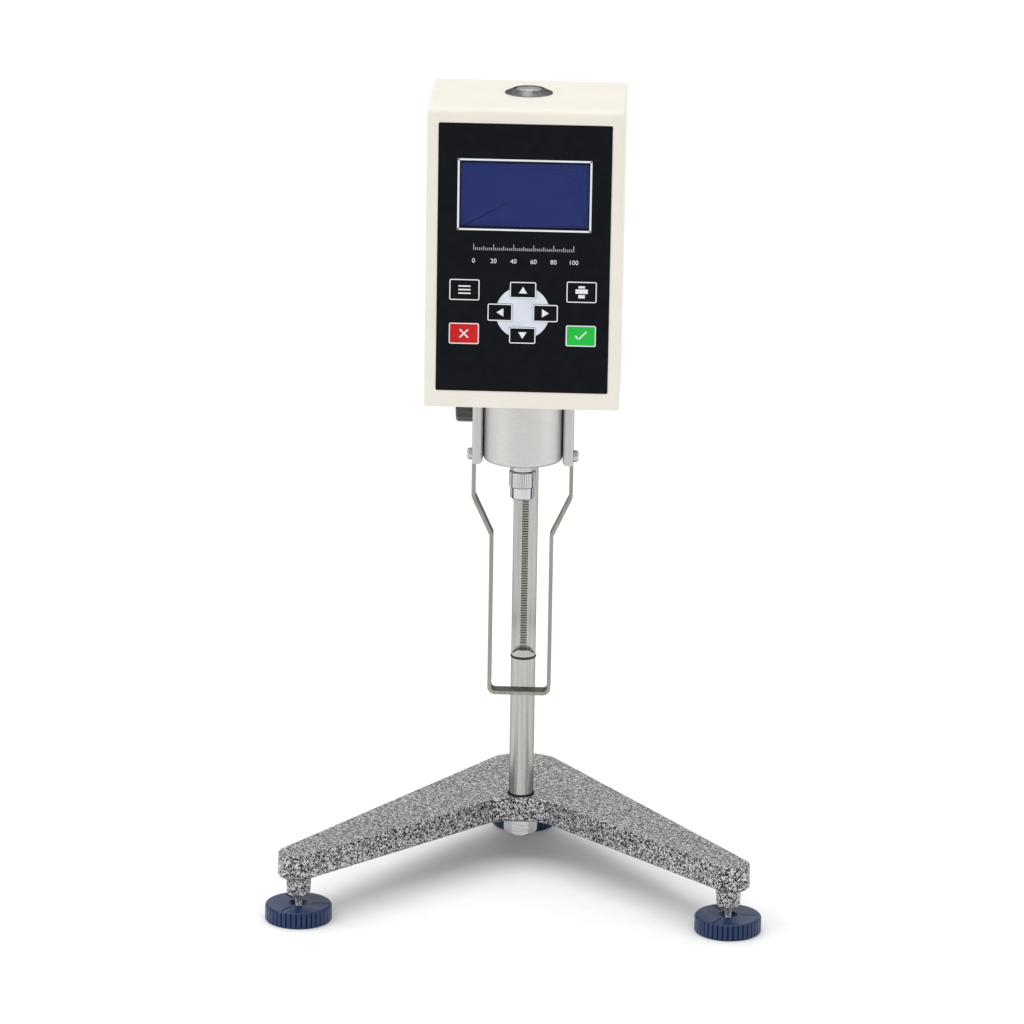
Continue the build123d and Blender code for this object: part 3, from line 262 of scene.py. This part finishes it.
def printed_panel():
    """Near-black membrane with a pale disc printed behind the arrow keys."""
    material, tree, shader = shader_tree("printed_panel")
    split = tree.nodes.new("ShaderNodeSeparateXYZ")
    tree.links.new(own_place(tree), split.inputs["Vector"])
    rise = arithmetic(tree, "SUBTRACT", split.outputs["Z"], pad_middle_height)
    across = arithmetic(tree, "MULTIPLY", split.outputs["X"], split.outputs["X"])
    upward = arithmetic(tree, "MULTIPLY", rise, rise)
    distance = arithmetic(tree, "SQRT", arithmetic(tree, "ADD", across, upward), 0.0)
    cloudy = tint(tree, noise(tree, 220), (0.0030, 0.0042, 0.0064), (0.0044, 0.0058, 0.0084))
    pale = tint(tree, noise(tree, 90), (0.62, 0.665, 0.74), (0.68, 0.72, 0.79))
    blend = tree.nodes.new("ShaderNodeMix")
    blend.data_type = "RGBA"
    disc = spread(tree, distance, 1.0, 0.0, pad_disc_radius - print_edge, pad_disc_radius + print_edge)
    tree.links.new(disc, blend.inputs["Factor"])
    tree.links.new(cloudy, blend.inputs["A"])
    tree.links.new(pale, blend.inputs["B"])
    tree.links.new(blend.outputs["Result"], shader.inputs["Base Color"])
    tree.links.new(spread(tree, noise(tree, 300, detail=4), 0.30, 0.42), shader.inputs["Roughness"])
    shader.inputs["Specular IOR Level"].default_value = 0.07
    relief(tree, shader, noise(tree, 2600, detail=2), 0.004 * mm)
    return material


def blue_display():
    """Blue negative display: a faint grid of picture points over an even, slightly cloudy blue."""
    material, tree, shader = shader_tree("blue_display")
    points = tree.nodes.new("ShaderNodeTexBrick")
    points.offset = 0.0
    points.inputs["Color1"].default_value = (0.0190, 0.0310, 0.154, 1)
    points.inputs["Color2"].default_value = (0.0180, 0.0295, 0.147, 1)
    points.inputs["Mortar"].default_value = (0.0145, 0.0240, 0.122, 1)
    points.inputs["Scale"].default_value = 1.0
    points.inputs["Mortar Size"].default_value = display_point_gap
    points.inputs["Brick Width"].default_value = display_point_spacing
    points.inputs["Row Height"].default_value = display_point_spacing
    coordinates = tree.nodes.new("ShaderNodeTexCoord")
    mapping = tree.nodes.new("ShaderNodeMapping")
    mapping.inputs["Rotation"].default_value = (-pi / 2, 0, 0)
    tree.links.new(coordinates.outputs["Object"], mapping.inputs["Vector"])
    tree.links.new(mapping.outputs["Vector"], points.inputs["Vector"])
    tree.links.new(points.outputs["Color"], shader.inputs["Base Color"])
    tree.links.new(spread(tree, noise(tree, 120), 0.24, 0.32), shader.inputs["Roughness"])
    shader.inputs["Specular IOR Level"].default_value = 0.05
    return material


def clear_pane(name, colour, alpha, roughness):
    """Clear plastic or glass: mostly see-through, with faint wiping marks in its gloss."""
    material, tree, shader = shader_tree(name)
    lighter = tuple(min(1.0, channel * 1.06) for channel in colour)
    tree.links.new(tint(tree, noise(tree, 50), colour, lighter), shader.inputs["Base Color"])
    wiping = noise(tree, 400, (1, 1, 0.1))
    tree.links.new(spread(tree, wiping, roughness, roughness + 0.05), shader.inputs["Roughness"])
    shader.inputs["Alpha"].default_value = alpha
    return material


def circuit_board():
    """Green solder mask with brighter strips where the copper lies under it."""
    material, tree, shader = shader_tree("circuit_board")
    traces = noise(tree, 260, detail=0, distortion=3)
    colour = tint(tree, traces, (0.012, 0.10, 0.035), (0.03, 0.21, 0.075), 0.48, 0.52)
    tree.links.new(colour, shader.inputs["Base Color"])
    tree.links.new(spread(tree, traces, 0.32, 0.44), shader.inputs["Roughness"])
    relief(tree, shader, traces, 0.02 * mm)
    return material


# Enamel, panel, display, clear parts and boards
enamel = hammer_enamel()
panel_black = printed_panel()
display = blue_display()
pane = clear_pane("display_pane", (0.10, 0.12, 0.20), alpha=0.05, roughness=0.08)
vial_glass = clear_pane("vial_glass", (0.80, 0.82, 0.80), alpha=0.22, roughness=0.03)
board = circuit_board()

# Mouldings, keys and print
ivory = moulded("ivory_shell", (0.775, 0.737, 0.655), (0.800, 0.762, 0.680),
                roughness=0.46, grain=1500, depth=0.02 * mm, shine=0.3)
key_black = moulded("key_black", (0.0032, 0.0044, 0.0066), (0.0046, 0.0060, 0.0086),
                    roughness=0.36, grain=2600, depth=0.004 * mm, shine=0.07)
key_red = moulded("key_red", (0.50, 0.010, 0.010), (0.55, 0.013, 0.013),
                  roughness=0.36, grain=2600, depth=0.004 * mm, shine=0.15)
key_green = moulded("key_green", (0.013, 0.45, 0.047), (0.017, 0.50, 0.056),
                    roughness=0.36, grain=2600, depth=0.004 * mm, shine=0.15)
print_white = moulded("print_white", (0.72, 0.74, 0.76), (0.78, 0.80, 0.82),
                      roughness=0.42, grain=2600, depth=0.003 * mm, shine=0.2)
# Near-black: real print for the level's target ring, and painted shade for the screw recesses and the port's
# socket holes
dark_print_and_shade = moulded("dark_print_and_shade", (0.010, 0.010, 0.011), (0.016, 0.016, 0.017),
                     roughness=0.45, grain=2600, depth=0.003 * mm)
knob_blue = moulded("knob_blue", (0.010, 0.027, 0.088), (0.014, 0.034, 0.105),
                    roughness=0.30, grain=1900, depth=0.012 * mm, shine=0.35)
knob_black = moulded("knob_black", (0.028, 0.028, 0.031), (0.042, 0.042, 0.046),
                     roughness=0.40, grain=1900, depth=0.02 * mm)
socket_black = moulded("socket_black", (0.010, 0.010, 0.011), (0.016, 0.016, 0.017),
                       roughness=0.38, grain=2200, depth=0.02 * mm)
rubber = moulded("ring_rubber", (0.010, 0.010, 0.010), (0.018, 0.018, 0.018),
                 roughness=0.58, grain=1800, depth=0.02 * mm)
level_fluid = moulded("level_fluid", (0.50, 0.52, 0.44), (0.56, 0.58, 0.50),
                      roughness=0.25, grain=300, depth=0.002 * mm, coat=0.4)
level_air = moulded("level_air", (0.74, 0.76, 0.70), (0.80, 0.82, 0.77),
                    roughness=0.12, grain=300, depth=0.002 * mm, coat=0.6)
floor_paint = moulded("floor_paint", (0.90, 0.90, 0.90), (0.92, 0.92, 0.92),
                      roughness=0.7, grain=40, depth=0.01 * mm)

# Metals, with their grinding or turning lines drawn out along one or two axes
column_steel = worked_metal("column_steel", (0.38, 0.37, 0.355), (0.54, 0.53, 0.51),
                            roughness=0.24, stretch=(1, 1, 0.02))
rack_steel = worked_metal("rack_steel", (0.36, 0.345, 0.32), (0.48, 0.46, 0.43),
                          roughness=0.34, stretch=(0.1, 1, 1))
bright_steel = worked_metal("bright_steel", (0.42, 0.42, 0.43), (0.58, 0.58, 0.59),
                            roughness=0.24, stretch=(0.2, 1, 1))
black_steel = worked_metal("black_steel", (0.035, 0.035, 0.037), (0.065, 0.065, 0.068),
                           roughness=0.36, stretch=(0.2, 1, 1))
guard_steel = worked_metal("guard_steel", (0.24, 0.23, 0.21), (0.36, 0.345, 0.315),
                           roughness=0.30, stretch=(1, 1, 0.05))
turned_aluminium = worked_metal("turned_aluminium", (0.53, 0.53, 0.515), (0.61, 0.61, 0.595),
                                roughness=0.42, stretch=(0.2, 0.2, 1), grain=1600)
drawn_aluminium = worked_metal("drawn_aluminium", (0.50, 0.50, 0.49), (0.57, 0.57, 0.56),
                               roughness=0.42, stretch=(1, 1, 0.03))
milled_aluminium = worked_metal("milled_aluminium", (0.46, 0.46, 0.47), (0.58, 0.58, 0.59),
                                roughness=0.38, stretch=(0.05, 1, 1))
chrome = worked_metal("chrome", (0.52, 0.52, 0.54), (0.60, 0.60, 0.62),
                      roughness=0.12, stretch=(1, 1, 0.1), grain=500, depth=0.002 * mm, edge=0.1)
# The level's bezel is the same chrome as the coupling, made much darker: painted shade in its colour
shaded_bezel_chrome = worked_metal("shaded_bezel_chrome", (0.20, 0.20, 0.21), (0.30, 0.30, 0.31),
                            roughness=0.16, stretch=(1, 1, 0.1), grain=500, depth=0.002 * mm)
brass = worked_metal("brass", (0.58, 0.41, 0.16), (0.70, 0.51, 0.22),
                     roughness=0.30, stretch=(0.1, 0.1, 1))
spring_bronze = worked_metal("spring_bronze", (0.52, 0.34, 0.18), (0.62, 0.42, 0.24),
                             roughness=0.26, stretch=(1, 1, 0.2))

finishes = {
    "base_casting": enamel,
    "column": column_steel,
    "column_rack": rack_steel,
    "column_stop_ring": rubber,
    "column_foot_washer": black_steel,
    "column_nut": bright_steel,
    "column_cap": knob_black,
    "levelling_knob_left": knob_blue,
    "levelling_knob_right": knob_blue,
    "levelling_knob_rear": knob_blue,
    "lift_block": milled_aluminium,
    "lift_bushes": brass,
    "rod_clamp_screw": black_steel,
    "pinion_shaft": bright_steel,
    "lift_knob": knob_black,
    "tension_nut": bright_steel,
    "head_rod": bright_steel,
    "rod_bracket": milled_aluminium,
    "chassis_plate": milled_aluminium,
    "head_shell": ivory,
    "rear_cover": ivory,
    "cover_screws": black_steel,
    "front_panel": panel_black,
    "display_window": pane,
    "display_glass": display,
    "display_module": board,
    "key_menu": key_black,
    "key_print": key_black,
    "key_quit": key_red,
    "key_enter": key_green,
    "key_up": key_black,
    "key_down": key_black,
    "key_left": key_black,
    "key_right": key_black,
    "key_board": board,
    "spindle_housing": turned_aluminium,
    "spindle_bearing": brass,
    "spindle_shaft": bright_steel,
    "drive_shaft": bright_steel,
    "hairspring": spring_bronze,
    "coupling_sleeve": chrome,
    "coupling_connector": chrome,
    "disc_sensors": socket_black,
    "motor_pillars": brass,
    "drive_motor": bright_steel,
    "main_board": board,
    "guard_post_left": drawn_aluminium,
    "guard_post_right": drawn_aluminium,
    "guard_strap": guard_steel,
    "guard_screws": bright_steel,
    "level_bezel": shaded_bezel_chrome,
    "level_vial": vial_glass,
    "switch_frame": socket_black,
    "power_rocker": socket_black,
    "power_inlet": bright_steel,
    "printer_port": bright_steel,
}
for node, finish in finishes.items():
    cad_piece = frame["nodes"][node]
    for place in cad_piece.material_slots:
        place.material = finish

body_of = {node: body for body, group in frame["record"]["behaviour"]["bodies"].items() for node in group}


def finished(name, vertices, faces, material, like):
    """Mesh piece with outward faces and the given material, smooth-shaded, riding on the body of the named
    CAD node.
    """
    mesh = bpy.data.meshes.new(name)
    mesh.from_pydata(np.asarray(vertices).reshape(-1, 3).tolist(), [], faces)
    solid = bmesh.new()
    solid.from_mesh(mesh)
    bmesh.ops.recalc_face_normals(solid, faces=solid.faces)
    solid.to_mesh(mesh)
    solid.free()
    mesh.shade_smooth()
    mesh.set_sharp_from_angle(angle=radians(35))
    mesh.materials.append(material)
    piece = bpy.data.objects.new(name, mesh)
    bpy.context.scene.collection.objects.link(piece)
    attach(piece, body_of[like])
    return piece


def skin(points, around=False, caps=False):
    """Quads between neighbours of a grid; its columns may close round and its ends may be capped."""
    rows, columns = points.shape[:2]
    index = np.arange(rows * columns).reshape(rows, columns)
    if around:
        index = np.hstack([index, index[:, :1]])
    corners = (index[:-1, :-1], index[:-1, 1:], index[1:, 1:], index[1:, :-1])
    faces = np.stack(corners, axis=-1).reshape(-1, 4).tolist()
    if caps:
        faces.append(index[0, :columns].tolist())
        faces.append(index[-1, :columns].tolist())
    return faces


def carried_round(centre, radius, height, angle):
    """Grid of points at each radius and height, carried round the upright axis at every angle."""
    across = centre[0] + radius * np.cos(angle)
    along = centre[1] + radius * np.sin(angle)
    return np.stack([across, along, height + 0 * angle], axis=-1)


def turned_piece(name, centre, profile, material, like, segments=64):
    """Surface of revolution: each (radius, height) of the profile is carried round the upright axis."""
    profile = np.array(profile)
    angle = np.linspace(0, 2 * pi, segments, endpoint=False)
    points = carried_round(centre, profile[:, :1], centre[2] + profile[:, 1:], angle)
    return finished(name, points, skin(points, around=True, caps=True), material, like)


def rounded_outline(width, height, corner, steps=6):
    """Rounded rectangle: four quarter circles about the corner centres, joined by straight sides."""
    turn = np.linspace(0, pi / 2, steps)
    quarters = np.concatenate([turn + quarter * pi / 2 for quarter in range(4)])
    side = np.repeat(np.array([[1, 1], [-1, 1], [-1, -1], [1, -1]]), steps, axis=0)
    normal = np.stack([np.cos(quarters), np.sin(quarters)], axis=-1)
    centre = side * np.array([width / 2 - corner, height / 2 - corner])
    return centre + corner * normal, normal


def upright(outline, face, proud):
    """A flat outline of (x, height) stood up in space, at the given distance before a face."""
    outline = np.asarray(outline)
    return np.stack([outline[:, 0], np.full(len(outline), face - proud), outline[:, 1]], axis=-1)


def printed_frame(name, middle, width, height, corner, band, face, material, like):
    """Flat band whose four-cornered section is carried round a rounded rectangle on a front face."""
    outline, normal = rounded_outline(width, height, corner)
    section = [(0, 0), (0, print_thickness), (-band, print_thickness), (-band, 0), (0, 0)]
    points = np.stack([upright(outline + middle + inward * normal, face, proud) for inward, proud in section])
    return finished(name, points, skin(points, around=True), material, like)


def printed_shape(name, outlines, face, material, like):
    """Thin printed shapes on an upright face: each outline is carried forward by the ink's thickness."""
    vertices, faces = [], []
    for outline in outlines:
        points = np.stack([upright(outline, face, proud) for proud in (0, print_thickness)])
        start = sum(len(part) for part in vertices)
        faces += [[corner + start for corner in loop] for loop in skin(points, around=True, caps=True)]
        vertices.append(points.reshape(-1, 3))
    return finished(name, np.concatenate(vertices), faces, material, like)


def bar(start, end, stroke):
    """Corners of a straight stroke from start to end."""
    start, end = np.array(start), np.array(end)
    along = (end - start) / np.linalg.norm(end - start)
    across = np.array([-along[1], along[0]]) * stroke / 2
    return np.array([start - across, end - across, end + across, start + across])


def level_bar(half_width, height, stroke):
    """Corners of a level stroke that is centred sideways and lies at a height."""
    return bar((-half_width, height), (half_width, height), stroke)


def front_of(node):
    """Middle of a node's front as x and height, the depth of its face, its width and its height."""
    low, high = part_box(node)
    middle = ((low[0] + high[0]) / 2, (low[2] + high[2]) / 2)
    return middle, low[1], high[0] - low[0], high[2] - low[2]


# White frame round the display and the plain scale under it
panel_face = front_of("front_panel")[1]
window_middle = front_of("display_window")[0]
printed_frame("display_frame", window_middle, display_frame_width, display_frame_height,
              display_frame_corner, display_frame_band, panel_face, print_white, "front_panel")


def tick_length(value):
    """Full length at each long step, a share of it at each middle step and the shortest between."""
    if value % scale_long_step == 0:
        return scale_tick
    if value % scale_middle_step == 0:
        return middle_tick_share * scale_tick
    return short_tick_share * scale_tick


tick_foot = scale_centre_height - scale_tick / 2
ticks = []
for value in range(0, scale_end + 1, scale_step):
    tick_x = (value / scale_end - 0.5) * scale_width
    ticks.append(bar((tick_x, tick_foot), (tick_x, tick_foot + tick_length(value)), tick_stroke))
printed_shape("scale_ticks", ticks, panel_face, print_white, "front_panel")


def printed_numeral(name, text, middle, face, size, like):
    """A numeral in plain type, laid flat on a face that looks to the front."""
    letters = bpy.data.curves.new(name, "FONT")
    letters.body = text
    letters.size = size
    letters.align_x = "CENTER"
    letters.extrude = print_thickness / 2
    holder = bpy.data.objects.new(name, letters)
    mesh = bpy.data.meshes.new_from_object(holder)
    bpy.data.objects.remove(holder)
    corners = np.empty(len(mesh.vertices) * 3)
    mesh.vertices.foreach_get("co", corners)
    across, upward, outward = corners.reshape(-1, 3).T
    placed = np.stack([middle[0] + across, face - print_thickness / 2 - outward, middle[1] + upward], axis=-1)
    faces = [list(polygon.vertices) for polygon in mesh.polygons]
    return finished(name, placed, faces, print_white, like)


for value in range(0, scale_end + 1, scale_long_step):
    numeral_place = ((value / scale_end - 0.5) * scale_width, numeral_height - numeral_size / 3)
    printed_numeral(f"scale_numeral_{value}", str(value), numeral_place, panel_face, numeral_size,
                    "front_panel")

# Pale rims and plain symbols on the keys
for key in ("menu", "print", "quit", "enter", "up", "down", "left", "right"):
    node = f"key_{key}"
    middle, face, width, height = front_of(node)
    printed_frame(f"rim_{key}", middle, width, height, key_corner, key_band, face, print_white, node)

arrow_base = -arrow_height / 2
arrow = np.array([(-arrow_width / 2, arrow_base), (arrow_width / 2, arrow_base), (0, arrow_height / 2)])
for key, angle in (("up", 0), ("left", pi / 2), ("down", pi), ("right", 3 * pi / 2)):
    node = f"key_{key}"
    middle, face = front_of(node)[:2]
    turn = np.array([[cos(angle), sin(angle)], [-sin(angle), cos(angle)]])
    printed_shape(f"arrow_{key}", [arrow @ turn + middle], face, print_white, node)

symbols = {
    "menu": [level_bar(menu_half_width, row * menu_line_spacing, icon_stroke) for row in (-1, 0, 1)],
    "quit": [
        bar((-cross_reach, -cross_reach), (cross_reach, cross_reach), icon_stroke),
        bar((-cross_reach, cross_reach), (-cross_gap, cross_gap), icon_stroke),
        bar((cross_gap, -cross_gap), (cross_reach, -cross_reach), icon_stroke),
    ],
    "enter": [
        bar(check_start, check_turn, icon_stroke),
        bar((check_turn[0] - check_lap, check_turn[1]), check_end, icon_stroke),
    ],
    "print": [
        level_bar(paper_half_width, paper_in_rise, paper_in_height),
        level_bar(printer_half_width, printer_rise, printer_height),
        level_bar(paper_half_width, -paper_out_drop, paper_out_height),
    ],
}
for key, strokes in symbols.items():
    node = f"key_{key}"
    middle, face = front_of(node)[:2]
    printed_shape(f"symbol_{key}", [stroke + middle for stroke in strokes], face, print_white, node)


def threaded_screw(side):
    """Screw whose radius falls and rises once in every pitch, one pitch higher for each turn.

    The crest sinks to the core at both ends, over the first and the last pitch.
    """
    node = f"levelling_screw_{side}"
    low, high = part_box(node)
    centre = ((low[0] + high[0]) / 2, (low[1] + high[1]) / 2)
    length = high[2] - low[2]
    angle = np.linspace(0, 2 * pi, thread_columns, endpoint=False)
    height = np.linspace(low[2], high[2], int(length / thread_pitch * thread_rows))[:, None]
    phase = (height / thread_pitch - angle / (2 * pi)) % 1
    ends = np.clip(np.minimum(height - low[2], high[2] - height) / thread_pitch, 0, 1)
    radius = thread_radius - thread_depth * (1 - ends * np.abs(2 * phase - 1))
    points = carried_round(centre, radius, height, angle)
    piece = finished(f"thread_{side}", points, skin(points, around=True, caps=True), bright_steel, node)
    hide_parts(node)


for side in ("left", "right", "rear"):
    threaded_screw(side)

# Bubble level: the fluid, its target ring and the bubble under the glass
vial_low, vial_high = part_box("level_vial")
fill_place = ((vial_low[0] + vial_high[0]) / 2, (vial_low[1] + vial_high[1]) / 2,
              vial_high[2] - level_fill_drop)
fill_profile = [
    (level_fill_radius, -level_fill_depth),
    (level_fill_radius, 0),
    (level_fill_middle, level_fill_crown),
]
turned_piece("level_fill", fill_place, fill_profile, level_fluid, "level_vial")

ring_inner = level_ring_radius - level_ring_band
ring_profile = [
    (level_ring_radius, level_ring_foot),
    (level_ring_radius, level_ring_top),
    (ring_inner, level_ring_top),
    (ring_inner, level_ring_foot),
]
turned_piece("level_target", fill_place, ring_profile, dark_print_and_shade, "level_vial")

dome_angle = np.linspace(pi / 2, level_bubble_tip_angle, level_bubble_rings)
dome = [(level_bubble_radius * sin(turn), level_bubble_height * cos(turn)) for turn in dome_angle]
turned_piece("level_bubble", fill_place, dome, level_air, "level_vial")

# Cross recesses of the four cover screws: no recess is cut; each is a dark cross a hair above the head,
# painted shade where the recess would be
cover_low, cover_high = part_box("cover_screws")
recess_half = recess_stroke / 2
recess_shade_crosses = []
for x in (cover_low[0] + cover_screw_head_radius, cover_high[0] - cover_screw_head_radius):
    for z in (cover_low[2] + cover_screw_head_radius, cover_high[2] - cover_screw_head_radius):
        recess_shade_crosses.append(bar((x - recess_reach, z), (x + recess_reach, z), recess_stroke))
        recess_shade_crosses.append(bar((x, z - recess_reach), (x, z - recess_half), recess_stroke))
        recess_shade_crosses.append(bar((x, z + recess_half), (x, z + recess_reach), recess_stroke))
printed_shape("cover_screw_recess_shade", recess_shade_crosses, cover_high[1] + print_thickness, dark_print_and_shade, "cover_screws")

# Sockets of the nine-way port: no holes are cut; dark discs on the port face are painted shade where the
# socket holes would be
port_low, port_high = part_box("printer_port")
port_x = (port_low[0] + port_high[0]) / 2
port_z = (port_low[2] + port_high[2]) / 2
socket_turn = np.linspace(0, 2 * pi, socket_segments, endpoint=False)
socket_circle = socket_radius * np.stack([np.cos(socket_turn), np.sin(socket_turn)], axis=-1)
socket_hole_shades = []
for count, rise in ((5, socket_rise), (4, -socket_rise)):
    for place in range(count):
        socket_x = port_x + (place - (count - 1) / 2) * socket_spacing
        socket_hole_shades.append(socket_circle + (socket_x, port_z + rise))
printed_shape("port_socket_shade", socket_hole_shades, port_high[1] + print_thickness, dark_print_and_shade, "printer_port")

# Floor
floor_corners = [(across * floor_half, along * floor_half, 0)
                 for across, along in ((-1, -1), (1, -1), (1, 1), (-1, 1))]
floor_mesh = bpy.data.meshes.new("floor")
floor_mesh.from_pydata(floor_corners, [], [(0, 1, 2, 3)])
floor_mesh.materials.append(floor_paint)
floor = bpy.data.objects.new("floor", floor_mesh)
bpy.context.scene.collection.objects.link(floor)


# Soft light from both sides, from above and from all round
def soft_box(name, place, size, power):
    """Square area light at a place, turned to the column's lower half."""
    lamp = bpy.data.lights.new(name, "AREA")
    lamp.size = size
    lamp.energy = power
    holder = bpy.data.objects.new(name, lamp)
    holder.location = place
    holder.rotation_euler = (Vector(light_target) - Vector(place)).to_track_quat("-Z", "Y").to_euler()
    bpy.context.scene.collection.objects.link(holder)


soft_box("light_left", (-1.5, -0.9, 0.55), size=0.4, power=2.6)
soft_box("light_right", (1.5, -0.5, 0.45), size=0.3, power=1.8)

sky_lamp = bpy.data.lights.new("light_top", "SUN")
sky_lamp.energy = sky_power
sky_lamp.angle = sky_spread
sky_holder = bpy.data.objects.new("light_top", sky_lamp)
sky_holder.rotation_euler = Vector(sky_direction).to_track_quat("-Z", "Y").to_euler()
bpy.context.scene.collection.objects.link(sky_holder)

world = bpy.data.worlds.new("studio")
world.use_nodes = True
world.node_tree.nodes["Background"].inputs["Color"].default_value = (1, 1, 1, 1)
world.node_tree.nodes["Background"].inputs["Strength"].default_value = world_strength
bpy.context.scene.world = world
bpy.context.scene.view_settings.view_transform = "Standard"

# Camera
lens = bpy.data.cameras.new("camera")
lens.sensor_width = sensor_width
lens.lens = camera_pixels / frame_pixels * sensor_width
lens.clip_end = camera_reach
camera = bpy.data.objects.new("camera", lens)
turned_camera = Matrix.Rotation(camera_turn, 4, "Z") @ Matrix.Rotation(pi / 2 - camera_pitch, 4, "X")
camera.matrix_world = (Matrix.Translation(camera_place) @ turned_camera
                       @ Matrix.Rotation(camera_roll, 4, "Z"))
bpy.context.scene.collection.objects.link(camera)
bpy.context.scene.camera = camera
